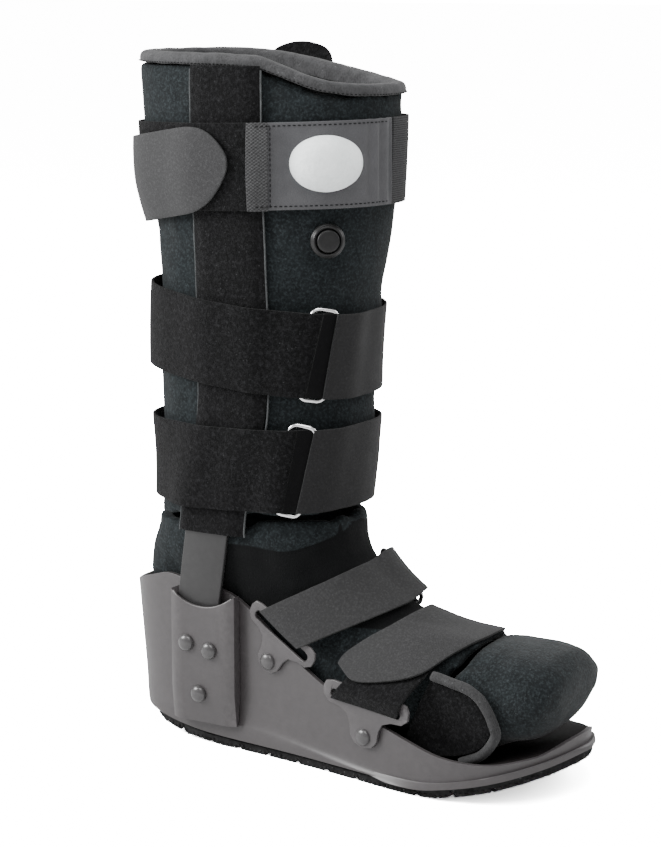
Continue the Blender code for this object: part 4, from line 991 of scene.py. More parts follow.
STITCH_SHAPE = ((0.0, 0.5), (0.55, 0.42), (0.9, 0.25), (1.0, 0.0), (0.9, -0.25), (0.55, -0.42),
                (0.0, -0.5))


@dataclass
class StitchRun:
    """A row of sewn stitches that lies on a surface."""

    name: str
    path: np.ndarray
    finish: Finish = THREAD
    pitch: float = 0.0030
    length: float = 0.0021
    radius: float = 0.00032

    def build(self) -> bpy.types.Object:
        """Model one stitch and copy it along the row.

        Returns:
            The row as one piece.
        """
        pattern = turned(self.name + "_one", [(r * self.radius, z * self.length)
                                              for r, z in STITCH_SHAPE], steps=6)
        shape = points_of(pattern)
        faces = [tuple(face.vertices) for face in pattern.data.polygons]
        bpy.data.objects.remove(pattern, do_unlink=True)
        points: list[np.ndarray] = []
        quads: list[tuple[int, ...]] = []
        count = max(int(lengths_of(self.path)[-1] / self.pitch), 1)
        places = (np.arange(count) + 0.5) * self.pitch
        for centre, ahead in zip(spots_along(self.path, places),
                                 spots_along(self.path, places + 0.0005)):
            way = Vector(ahead - centre)
            if way.length < 1e-9:
                continue
            turn = np.array(way.to_track_quat("Z", "X").to_matrix())
            base = len(points) * len(shape)
            points.append(shape @ turn.T + centre)
            quads += [tuple(base + v for v in face) for face in faces]
        thing = mesh_object(self.name, np.vstack(points), quads)
        smooth(thing)
        return dress(thing, self.finish)


def rounded_copy(node: str, name: str, finish: Finish, width: float,
                 keep: float = 35.0, segments: int = 3) -> None:
    """Copy a CAD node with rounded edges and dress it.

    Args:
        node: The CAD node.
        name: Name of the piece.
        finish: Its finish.
        width: Width of the rounding.
        keep: Angle in degrees from which an edge stays sharp.
        segments: Faces across the rounding.
    """
    thing = copy_node(node, name)
    bevel(thing, width, segments, ROUND_FROM)
    apply_all(thing)
    smooth(thing, keep)
    dress(thing, finish, nodes=(node,))


@dataclass
class MouldedShell:
    """The hard foot of the boot: shell, sole, footbed, channel covers and their lips."""

    rim_round: float = 0.0009
    sole_round: float = 0.0005
    cover_round: float = 0.0008
    toe_start: float = 0.115
    bed_reach: float = 0.0075
    bed_rise: float = 0.0024
    bed_spine: tuple[float, float] = (-0.11, 0.092)
    bed_from: float = 0.03
    lug_pitch: float = 0.0034
    lug_size: float = 0.0030

    def build(self) -> None:
        """Build and dress every piece of the foot."""
        self.shell()
        rounded_copy("outsole", "sole_tread", OUTSOLE, self.sole_round, segments=2)
        self.footbed()
        for side in ("right", "left"):
            rounded_copy("channel_" + side, "cover_" + side, SHELL, self.cover_round)
            self.lip(side)
        self.lugs()

    def shell(self) -> None:
        """Trough with rounded rim and smooth walls."""
        thing = copy_node("foot_shell", "shell_body")
        bevel(thing, self.rim_round, 2, ROUND_FROM)
        subdivide(thing, 2)
        apply_all(thing)
        front = thing.vertex_groups.new(name="toe")
        for vertex in thing.data.vertices:
            if vertex.co.x > self.toe_start:
                share = min((vertex.co.x - self.toe_start) / 0.02, 1.0)
                front.add([vertex.index], share, "REPLACE")
        relax = thing.modifiers.new("Smooth", "SMOOTH")
        relax.factor = 0.5
        relax.iterations = 12
        relax.vertex_group = "toe"
        apply_all(thing)
        smooth(thing)
        dress(thing, SHELL, nodes=("foot_shell",))

    def footbed(self) -> None:
        """Pad on the shell's floor."""
        thing = copy_node("footbed", "footbed_pad")
        edit_all(thing, lambda: bpy.ops.mesh.subdivide(number_cuts=2))
        points = points_of(thing)
        spine = np.column_stack((np.clip(points[:, 0], *self.bed_spine), np.zeros(len(points))))
        away = points[:, :2] - spine
        length = np.maximum(np.linalg.norm(away, axis=1), 1e-6)
        ahead = np.clip((points[:, 0] - self.bed_from) / 0.05, 0.0, 1.0)
        share = ahead * np.clip(length / 0.04, 0.0, 1.0) ** 3
        points[:, :2] += away / length[:, None] * (self.bed_reach * share)[:, None]
        points[:, 2] += self.bed_rise * share
        set_points(thing, points)
        bevel(thing, 0.0012, 3, ROUND_FROM)
        apply_all(thing)
        smooth(thing, 40.0)
        dress(thing, FOAM, nodes=("footbed",))

    def lip(self, side: str) -> None:
        """Rolled upper edge of a channel cover.

        Args:
            side: Side of the boot.
        """
        low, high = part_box("channel_" + side)
        sign = -1.0 if side == "right" else 1.0
        y = low[1] if side == "right" else high[1]
        middle, half = (low[0] + high[0]) / 2.0, (high[0] - low[0]) / 2.0
        path = []
        for k in range(25):
            u = -0.93 + 1.86 * k / 24.0
            inset = 0.0022 * max(abs(u) - 0.8, 0.0) / 0.2
            z = high[2] - 0.009 * (1.0 - abs(u) ** 2.2) - 0.0002
            path.append((middle + u * half, y - sign * (inset + 0.0009), z))
        thing = tube("cover_lip_" + side, path, 0.0009, sides=3)
        dress(thing, SHELL)

    def lugs(self) -> None:
        """Ragged lugs round the foot of the tread, each one copied from a bevelled block."""
        bpy.ops.object.select_all(action="DESELECT")
        bpy.ops.mesh.primitive_cube_add(size=1.0)
        block = bpy.context.object
        bevel(block, 0.22, 1, 30.0)
        apply_all(block)
        shape = points_of(block)
        faces = [tuple(face.vertices) for face in block.data.polygons]
        bpy.data.objects.remove(block, do_unlink=True)
        edge = self.sole_edge()
        points: list[np.ndarray] = []
        quads: list[tuple[int, ...]] = []
        places = (np.arange(int(lengths_of(edge)[-1] / self.lug_pitch)) + 0.5) * self.lug_pitch
        for k, centre in enumerate(spots_along(edge, places)):
            change = noise.noise(Vector((k * 1.37, 0.4, 2.1)))
            size = np.array((self.lug_size, self.lug_size, self.lug_size)) * (
                0.8 + 0.45 * abs(change), 0.8, 0.75 + 0.4 * change)
            turn = np.array(Matrix.Rotation(change * 1.4 + k, 3, "Z"))
            part = (shape * size) @ turn.T
            part[:, 2] += max(centre[2] - float(part[:, 2].min()) - 0.0006, -part[:, 2].min())
            part[:, :2] += centre[:2]
            quads += [tuple(len(points) * len(shape) + v for v in face) for face in faces]
            points.append(part)
        thing = mesh_object("tread_lugs", np.vstack(points), quads)
        smooth(thing, 40.0)
        dress(thing, OUTSOLE)

    def sole_edge(self) -> np.ndarray:
        """Line just inside the lower edge of the outsole, read from its node.

        Returns:
            Points of a closed line.
        """
        cloud = points_of(frame["nodes"]["outsole"])
        tree = tree_of("outsole")
        line = []
        middle_x = (cloud[:, 0].min() + cloud[:, 0].max()) / 2.0
        for k in range(161):
            turn = 2.0 * math.pi * k / 160.0
            way = Vector((math.cos(turn) * 1.9, math.sin(turn), 0.0)).normalized()
            best = None
            for z in np.arange(0.0005, 0.032, 0.0010):
                hit, _, _, _ = tree.ray_cast(Vector((middle_x, 0.0, z)) + way * 0.4, -way, 0.4)
                if hit is not None and (best is None or (hit - Vector((middle_x, 0.0, z))).length
                                        > (best - Vector((middle_x, 0.0, best.z))).length
                                        + 0.0004):
                    best = hit
            if best is not None:
                line.append(np.array(best - way * 0.0008))
        return np.array(line)


@dataclass
class Hardware:
    """Uprights, brackets, rivets, rings and valve."""

    bar_round: float = 0.0008
    bracket_round: float = 0.0007
    rivet_radius: float = 0.0052
    rivet_height: float = 0.0034
    ring_wire: float = 0.0015
    ring_corner: float = 0.0048

    def build(self) -> None:
        """Build and dress every piece of metal, and the valve."""
        for side in ("right", "left"):
            rounded_copy("upright_" + side, "bar_" + side, STEEL, self.bar_round, 40.0)
            for kind in ("instep", "toe"):
                node = "%s_bracket_%s" % (kind, side)
                rounded_copy(node, node + "_plate", BRACKET, self.bracket_round)
        self.rivets()
        for name in ("mid_ring", "low_ring", "instep_ring"):
            self.ring(name)
        self.valve()

    def rivets(self) -> None:
        """Domed rivets, modelled once and copied to each place."""
        r, h = self.rivet_radius, self.rivet_height
        profile = [(0.0, h)]
        profile += [(r * math.sin(a), h * (0.25 + 0.75 * math.cos(a)))
                    for a in np.radians((15, 30, 45, 60, 75, 88))]
        profile += [(r * 1.02, 0.12 * h), (r * 1.02, 0.0), (0.0, 0.0)]
        pattern = turned("rivet_pattern", profile, 32)
        names = ["channel_rivet_%s_%d" % (side, k) for side in ("right", "left") for k in (1, 2, 3)]
        names += ["%s_rivet_%s" % (kind, side) for kind in ("instep", "toe")
                  for side in ("right", "left")]
        for node in names:
            cloud = points_of(frame["nodes"][node])
            middle, axes = principal(cloud)
            axis = axes[2] * math.copysign(1.0, axes[2][1] * middle[1])
            foot = middle - axis * ((cloud - middle) @ axis).max()
            thing = bpy.data.objects.new(node + "_head", pattern.data.copy())
            bpy.context.scene.collection.objects.link(thing)
            thing.data.transform(facing(Vector(axis), Vector(foot)))
            smooth(thing, 50.0)
            dress(thing, RIVET, nodes=(node,))
        bpy.data.objects.remove(pattern, do_unlink=True)

    def ring(self, node: str) -> None:
        """Rectangular wire ring with round corners.

        Args:
            node: The CAD ring.
        """
        cloud = points_of(frame["nodes"][node])
        middle, axes = principal(cloud)
        tall, wide = axes[0], axes[1]
        half_tall = ((cloud - middle) @ tall).max() - self.ring_wire
        half_wide = ((cloud - middle) @ wide).max() - self.ring_wire
        path, corner = [], self.ring_corner
        for quarter in range(4):
            side_u = (1, -1, -1, 1)[quarter]
            side_v = (1, 1, -1, -1)[quarter]
            for k in range(9):
                turn = math.pi / 2.0 * (quarter + k / 8.0)
                u = side_u * (half_wide - corner) + corner * math.cos(turn)
                v = side_v * (half_tall - corner) + corner * math.sin(turn)
                path.append(middle + wide * u + tall * v)
        thing = tube(node + "_wire", path, self.ring_wire, closed=True, sides=5)
        dress(thing, CHROME, nodes=(node,))

    def valve(self) -> None:
        """Valve base with a raised rim, and its soft press button."""
        joint = frame["joints"][0]
        axis = Vector(joint.get("axis", (0.657967, -0.753047, 0.0)))
        axis = -axis if axis.y > 0.0 else axis
        for node, name, body, profile in (
                ("valve_base", "valve_ring", BOOT_BODY,
                 ((0.0, 0.0010), (0.0074, 0.0010), (0.0074, 0.0022), (0.0077, 0.0029),
                  (0.0083, 0.0032), (0.0089, 0.0030), (0.0092, 0.0024), (0.0098, 0.0020),
                  (0.0103, 0.0014), (0.0105, 0.0006), (0.0105, 0.0), (0.0, 0.0))),
                ("valve_button", "valve_cap", BUTTON_BODY,
                 ((0.0, 0.0042), (0.0030, 0.00425), (0.0052, 0.0043), (0.0062, 0.0041),
                  (0.0067, 0.0036), (0.0068, 0.0028), (0.0068, 0.0026), (0.0, 0.0026)))):
            cloud = points_of(frame["nodes"][node])
            away = np.array(axis)
            middle = (cloud.max(axis=0) + cloud.min(axis=0)) / 2.0
            low = ((cloud - middle) @ away).min()
            foot = middle + away * (low - profile[-1][1])
            thing = turned(name, profile, 48)
            thing.data.transform(facing(axis, Vector(foot)))
            bevel(thing, 0.00025, 2, 30.0)
            apply_all(thing)
            smooth(thing, 50.0)
            dress(thing, VALVE, body, nodes=(node,))


@dataclass
class SoftPad:
    """A padded piece: swollen by a short cloth simulation, then sewn and creased."""

    name: str
    node: str
    neighbours: tuple[str, ...]
    finish: Finish
    cap: float = 0.0030
    shrink: float = 0.0004
    voxel: float = 0.005
    pressure: float = 4.0
    relax: int = 3
    hold: float = 0.85
    crisp: float = 0.75
    rim_width: float = 0.0042
    toe_lift: float = 0.0
    fill: float = 0.7
    frames: int = 20

    def build(self, creases: Callable[[np.ndarray], np.ndarray]) -> bpy.types.Object:
        """Build and dress the pad.

        Args:
            creases: Gives how far each point is pressed in, in metres.

        Returns:
            The finished pad.
        """
        thing = copy_node(self.node, self.name)
        remesh = thing.modifiers.new("Remesh", "REMESH")
        remesh.mode = "VOXEL"
        remesh.voxel_size = self.voxel
        relax = thing.modifiers.new("Smooth", "SMOOTH")
        relax.factor = 0.5
        relax.iterations = self.relax
        apply_all(thing)
        form = tree_of(self.node)
        start = points_of(thing)
        on_form = np.array([form.find_nearest(Vector(p))[0] for p in start])
        start += (on_form - start) * self.hold
        if self.toe_lift:
            start = self.boxed_toe(start)
        set_points(thing, start)
        start -= points_of(thing, "normal") * self.shrink
        set_points(thing, start)
        self.puff(thing, start)
        subdivide(thing, 1)
        apply_all(thing)
        points = self.sharpened(points_of(thing))
        set_points(thing, points)
        push_out(thing, -creases(points))
        smooth(thing)
        return dress(thing, self.finish, nodes=(self.node,))

    def boxed_toe(self, points: np.ndarray) -> np.ndarray:
        """Lift the underside towards the toe's tip and fill out its upper and lower corners.

        Args:
            points: Points of the toe cap.

        Returns:
            The moved points.
        """
        out = points.copy()
        low, high = out[:, 2].min(), out[:, 2].max()
        ahead = np.clip((out[:, 0] - TOE_LIFT_X) / 0.050, 0.0, 1.0)
        out[:, 2] += self.toe_lift * ahead * np.clip((high - out[:, 2]) / (high - low), 0.0, 1.0)
        reach = out[:, 0].max() - TOE_BOX_X
        front = out[out[:, 0] > TOE_BOX_X]
        middle = (front[:, 2].min() + front[:, 2].max()) / 2.0
        half = (front[:, 2].max() - front[:, 2].min()) / 2.0
        u = np.clip((out[:, 0] - TOE_BOX_X) / reach, 0.0, 1.0)
        v = (out[:, 2] - middle) / half
        size = np.maximum(np.hypot(u, v), 1e-6)
        boxy = np.maximum((u ** TOE_POWER + np.abs(v) ** TOE_POWER) ** (1.0 / TOE_POWER), 1e-6)
        fill = np.where(u > 0.0, size / boxy, 1.0)
        out[:, 0] += np.where(u > 0.0, (fill - 1.0) * u * reach, 0.0)
        out[:, 2] += np.where(u > 0.0, (fill - 1.0) * v * half, 0.0)
        return out

    def sharpened(self, points: np.ndarray) -> np.ndarray:
        """Draw points that lie near the pad's rims back out to them.

        Args:
            points: Points of the pad.

        Returns:
            The moved points.
        """
        pattern = copy_node(self.node, self.name + "_rims")
        work = bmesh.new()
        work.from_mesh(pattern.data)
        sharp = [[tuple(v.co) for v in edge.verts] for edge in work.edges
                 if len(edge.link_faces) == 2 and edge.calc_face_angle() > RIM_ANGLE]
        work.free()
        bpy.data.objects.remove(pattern, do_unlink=True)
        best, nearest = nearest_on(points, np.array(sharp).reshape(-1, 2, 3))
        pull = self.crisp * np.exp(-(best / self.rim_width) ** 2)
        return points + (nearest - points) * pull[:, None]

    def puff(self, thing: bpy.types.Object, start: np.ndarray) -> None:
        """Swell a closed form and keep it clear of its neighbours.

        Args:
            thing: The pad, which is changed.
            start: Its points before it swells.
        """
        cloth = thing.modifiers.new("Cloth", "CLOTH")
        rules = cloth.settings
        rules.quality = 4
        rules.use_pressure = True
        rules.uniform_pressure_force = self.pressure
        rules.effector_weights.gravity = 0.0
        cloth.collision_settings.use_collision = False
        cloth.point_cache.frame_end = self.frames
        scene = bpy.context.scene
        for step in range(1, self.frames + 1):
            scene.frame_set(step)
        graph = bpy.context.evaluated_depsgraph_get()
        swollen = thing.evaluated_get(graph).to_mesh()
        flat = np.empty(len(swollen.vertices) * 3)
        swollen.vertices.foreach_get("co", flat)
        thing.modifiers.remove(cloth)
        scene.frame_set(1)
        move = flat.reshape(-1, 3) - start
        length = np.maximum(np.linalg.norm(move, axis=1), 1e-9)
        tree = tree_of(*self.neighbours)
        room = np.array([tree.find_nearest(Vector(p), 0.02)[3] or 0.02 for p in start])
        allowed = np.clip(room - CLEAR, 0.0, self.cap)
        set_points(thing, start + move * (np.minimum(length, allowed) / length)[:, None])


RIM_ANGLE = math.radians(50.0)
TOE_LIFT_X = 0.085
TOE_BOX_X = 0.095
TOE_POWER = 3.2
RIM_STEPS = 96
BINDING_RADIUS = 0.0034
# Section of the folded tape round the rim: way outwards and height from the binding's middle
RIM_SECTION = ((0.0054, -0.0046), (0.0057, -0.0030), (0.0056, -0.0006), (0.0047, 0.0014),
               (0.0026, 0.0025), (0.0, 0.0028), (-0.0026, 0.0025), (-0.0047, 0.0014),
               (-0.0056, -0.0006), (-0.0057, -0.0040), (-0.0054, -0.0088), (-0.0047, -0.0088),
               (-0.0048, -0.0020), (-0.0036, -0.0004), (0.0, 0.0004), (0.0036, -0.0004),
               (0.0048, -0.0020), (0.0047, -0.0046))
LEG_NEIGHBOURS = ("top_band", "pump_pocket", "top_webbing", "webbing_patch", "top_hook_tab",
                  "mid_strap_loop", "mid_strap_hook", "low_strap_loop", "low_strap_hook",
                  "sleeve_right", "sleeve_left", "upright_right", "upright_left", "top_binding",
                  "valve_base", "pump_bulb", "mid_ring", "low_ring", "liner_foot")
FOOT_NEIGHBOURS = ("foot_shell", "footbed", "channel_right", "channel_left", "upright_right",
                   "upright_left", "sleeve_right", "sleeve_left", "instep_strap",
                   "instep_strap_loop", "toe_strap_loop", "toe_strap_tab", "low_strap_loop",
                   "low_strap_hook", "instep_bracket_right", "instep_bracket_left",
                   "toe_bracket_right", "toe_bracket_left", "low_ring", "liner_leg", "toe_cap",
                   "instep_ring")
TOE_NEIGHBOURS = ("foot_shell", "footbed", "toe_strap_loop", "toe_strap_tab", "side_flap",
                  "side_flap_binding", "toe_bracket_right", "toe_bracket_left", "liner_foot")


# Seams and folds of the liner, as pixels of the photograph
RIM_FOLD = ((268, 72), (290, 84), (318, 93), (345, 94), (372, 91), (404, 97))
FLAP_SEAM = ((374, 505), (363, 511), (340, 532), (312, 545), (285, 551), (250, 545))
BAR_X = -0.096
# Lower edge of the near-black panel of black tongue and painted shade
TONGUE_AND_SHADE_FOOT_Z = 0.088
FRONT_SEAM = ((377, 396), (377.5, 408), (377, 420))
TOE_SEAM = ((553, 643), (570, 652), (583, 665), (591, 682), (592, 700))
TOE_DENT = ((455, 655), (475, 668), (490, 690))


@dataclass
class PaddedLiner:
    """Leg liner, foot liner and toe cap, with their seams and creases."""

    groove: float = 0.0013
    groove_width: float = 0.0018

    def build(self) -> None:
        """Build and dress the three pads and the rim's binding."""
        SoftPad("leg_pad", "liner_leg", LEG_NEIGHBOURS, CLOTH, cap=0.0022).build(self.leg_creases)
        foot = SoftPad("foot_pad", "liner_foot", FOOT_NEIGHBOURS, HEEL_CLOTH, cap=0.0028).build(
            self.foot_creases)
        # Near-black panel in front of the bar: the black tongue, with painted shade under the flap
        self.mark_tongue_and_painted_shade(foot)
        SoftPad("toe_pad", "toe_cap", TOE_NEIGHBOURS, TOE_CLOTH, cap=0.0022, shrink=0.0004,
                voxel=0.004, relax=2, hold=1.0, toe_lift=0.015, crisp=0.0,
                fill=0.8).build(self.toe_creases)
        self.binding()

    def sewn(self, points: np.ndarray, node: str, pixels: Sequence[tuple[float, float]],
             width: float) -> np.ndarray:
        """How much of a groove each point has, from 0 to 1.

        Args:
            points: Points of a pad.
            node: CAD node that the pad stands for.
            pixels: Line of the groove in the photograph.
            width: Half width of the groove.

        Returns:
            One share a point.
        """
        line = VIEW.seen(tree_of(node), pixels)
        away, _ = nearest_on(points, np.stack((line[:-1], line[1:]), axis=1))
        return np.exp(-(away / width) ** 2)

    def leg_creases(self, points: np.ndarray) -> np.ndarray:
        """How far each point of the leg is pressed in."""
        press = 0.00035 * waves(points, 0.028) + 0.00015 * waves(points, 0.009, 3.0)
        press += 0.0030 * self.sewn(points, "liner_leg", RIM_FOLD, 0.0028)
        press += 0.0008 * self.sewn(points, "liner_leg", FRONT_SEAM, 0.0015)
        return press

    def foot_creases(self, points: np.ndarray) -> np.ndarray:
        """How far each point of the heel, ankle and instep is pressed in."""
        press = 0.0006 * waves(points, 0.030, 1.0) + 0.0002 * waves(points, 0.010, 4.0)
        back = np.clip((LEG_CENTRE_X - points[:, 0]) / 0.03, 0.0, 1.0)
        seam = np.exp(-((points[:, 2] - 0.098) / self.groove_width) ** 2)
        under = np.clip((0.098 - points[:, 2]) / 0.006, 0.0, 1.0) * back
        press += 2.0 * self.groove * seam * back + 0.0022 * under
        press += self.groove * self.sewn(points, "liner_foot", FLAP_SEAM, self.groove_width)
        return press

    def mark_tongue_and_painted_shade(self, thing: bpy.types.Object) -> None:
        """Keep as an attribute which part of the pad is painted near-black: the black tongue under
        the leg's flap, with painted shade of the recess under the flap in the same colour.

        Args:
            thing: The foot pad.
        """
        points = points_of(thing)
        line = VIEW.seen(tree_of("liner_foot"), FLAP_SEAM)
        order = np.argsort(line[:, 0])
        flap = np.interp(points[:, 0], line[order, 0], line[order, 2])
        inside = np.minimum.reduce((flap - points[:, 2], points[:, 0] - BAR_X,
                                    points[:, 2] - TONGUE_AND_SHADE_FOOT_Z))
        keep_values(thing, TONGUE_AND_SHADE, inside)

    def toe_creases(self, points: np.ndarray) -> np.ndarray:
        """How far each point of the toe cap is pressed in."""
        press = 0.0005 * waves(points, 0.022, 2.0) + 0.0002 * waves(points, 0.008, 5.0)
        press += 0.0009 * self.sewn(points, "toe_cap", TOE_SEAM, 0.0014)
        press += 0.0018 * self.sewn(points, "toe_cap", TOE_DENT, 0.0100)
        return press

    def rim_line(self) -> tuple[np.ndarray, np.ndarray]:
        """Middle line of the rim's binding and the outward direction at each point."""
        tree = tree_of("top_binding")
        rows, away = [], []
        for k in range(RIM_STEPS):
            turn = 2.0 * math.pi * k / RIM_STEPS
            way = Vector((math.cos(turn), math.sin(turn), 0.0))
            hits = []
            for reach in np.arange(0.030, 0.110, 0.0006):
                start = Vector((LEG_CENTRE_X, 0.0, 0.6)) + way * reach
                hit, _, _, _ = tree.ray_cast(start, Vector((0.0, 0.0, -1.0)))
                if hit is not None:
                    hits.append((reach, hit.z))
            reach = (hits[0][0] + hits[-1][0]) / 2.0
            rows.append((LEG_CENTRE_X + way.x * reach, way.y * reach,
                         max(z for _, z in hits) - BINDING_RADIUS))
        line = np.array(rows)
        for _ in range(2):
            line = (np.roll(line, 1, axis=0) + 2.0 * line + np.roll(line, -1, axis=0)) / 4.0
        for dx, dy, _ in np.roll(line, -1, axis=0) - np.roll(line, 1, axis=0):
            length = math.hypot(dx, dy)
            away.append((dy / length, -dx / length, 0.0))
        return line, np.array(away)

    def binding(self) -> None:
        """Knit tape folded over the rim, with its stitches."""
        line, away = self.rim_line()
        count = len(RIM_SECTION)
        points = [place + out * u + np.array((0.0, 0.0, v))
                  for place, out in zip(line, away) for u, v in RIM_SECTION]
        faces = []
        for k in range(RIM_STEPS):
            ahead = (k + 1) % RIM_STEPS
            for i in range(count):
                j = (i + 1) % count
                faces.append((k * count + i, ahead * count + i, ahead * count + j, k * count + j))
        thing = mesh_object("rim_tape", points, faces)
        edit_all(thing, lambda: bpy.ops.mesh.normals_make_consistent(inside=False))
        subdivide(thing, 2)
        apply_all(thing)
        cloud = points_of(thing)
        change = 0.00030 * waves(cloud, 0.012) + 0.00018 * waves(cloud, 0.004, 2.0)
        push_out(thing, change - 0.0001)
        smooth(thing)
        dress(thing, TAPE, nodes=("top_binding",))
        row = line + away * (RIM_SECTION[0][0] + 0.0004)
        row[:, 2] += RIM_SECTION[0][1] + 0.0009
        StitchRun("stitch_rim", curve_through(np.vstack((row, row[:1])), 3), pitch=0.0027,
                  length=0.0018).build()


# Heights at the near sleeve's top, which ends below the rim's tape, and its welts' ends
SLEEVE_TOP_FROM = 0.418
SLEEVE_TOP_RUN = 0.010
SLEEVE_DROP = 0.0024
WELT_LAST = 0.420
WELT_TOP = 0.4245


@dataclass(frozen=True)
class RingPass:
    """What a leg strap's end does at its ring: it dips and turns smooth, or reaches over."""

    start: float
    slant: float
    dip: float = 0.0
    reach: float = 0.0
    turn: float = 9.0

    def past(self, angles: np.ndarray, height: np.ndarray) -> np.ndarray:
        """Degrees from the strap's slanting end, away from it."""
        middle = STRAP_WIDTH / 2.0
        return self.start + self.slant * (height - middle) / STRAP_WIDTH - angles

    def shape(self, thing: bpy.types.Object, plane: WrapPlane) -> None:
        """Dip the end between the ring's bars, or draw it out over the ring.

        Args:
            thing: The strap.
            plane: Plane of its lower edge.
        """
        points = points_of(thing)
        origin, along = np.array(plane.origin()), np.array(plane.along())
        away = points - origin
        radius = np.hypot(away @ along, away[:, 1])
        angle = np.degrees(np.arctan2(away[:, 1], away @ along))
        past = np.abs(self.past(angle, away[:, 2]))
        near = np.clip(1.0 - past / self.turn, 0.0, 1.0)
        near = near * near * (3.0 - 2.0 * near)
        turned_by = np.radians(angle - self.reach * near)
        size = radius - self.dip * np.minimum(near * 1.7, 1.0)
        up = away - np.outer(away @ along, along) - away * (0.0, 1.0, 0.0)
        moved = (origin + up + np.outer(size * np.cos(turned_by), along)
                 + np.outer(size * np.sin(turned_by), (0.0, 1.0, 0.0)))
        set_points(thing, moved)

    def measure(self, thing: bpy.types.Object, plane: WrapPlane) -> None:
        """Keep each point's angle from the strap's end as an attribute of its mesh.

        Args:
            thing: The strap.
            plane: Plane of its lower edge.
        """
        away = points_of(thing) - np.array(plane.origin())
        angle = np.degrees(np.arctan2(away[:, 1], away @ np.array(plane.along())))
        keep_values(thing, FROM_END, np.abs(self.past(angle, away[:, 2])))


@dataclass
class Strap:
    """A flat band of fabric, rounded at its edges and slightly uneven."""

    name: str
    node: str
    finish: Finish
    plane: WrapPlane
    edge: float = 0.0005
    uneven: float = 0.00012
    top_drop: float = 0.0
    rounded: bool = False
    ring: RingPass | None = None

    def build(self) -> bpy.types.Object:
        """Build and dress the band.

        Returns:
            The finished band.
        """
        thing = copy_node(self.node, self.name)
        if self.rounded:
            crease_rims(thing)
            subdivide(thing, 2)
            apply_all(thing)
        bevel(thing, self.edge, 2, ROUND_FROM)
        subdivide(thing, 1 if self.rounded else 2)
        apply_all(thing)
        points = points_of(thing)
        change = self.uneven * waves(points, 0.010) + 0.5 * self.uneven * waves(points, 0.004, 2.0)
        push_out(thing, change)
        if self.top_drop:
            points = points_of(thing)
            above = (points[:, 2] - SLEEVE_TOP_FROM) / SLEEVE_TOP_RUN
            points[:, 2] -= self.top_drop * np.clip(above, 0.0, 1.0)
            set_points(thing, points)
        if self.ring:
            self.ring.shape(thing, self.plane)
        smooth(thing, 60.0)
        unroll(thing, self.plane)
        if self.ring:
            self.ring.measure(thing, self.plane)
        return dress(thing, self.finish, nodes=(self.node,))


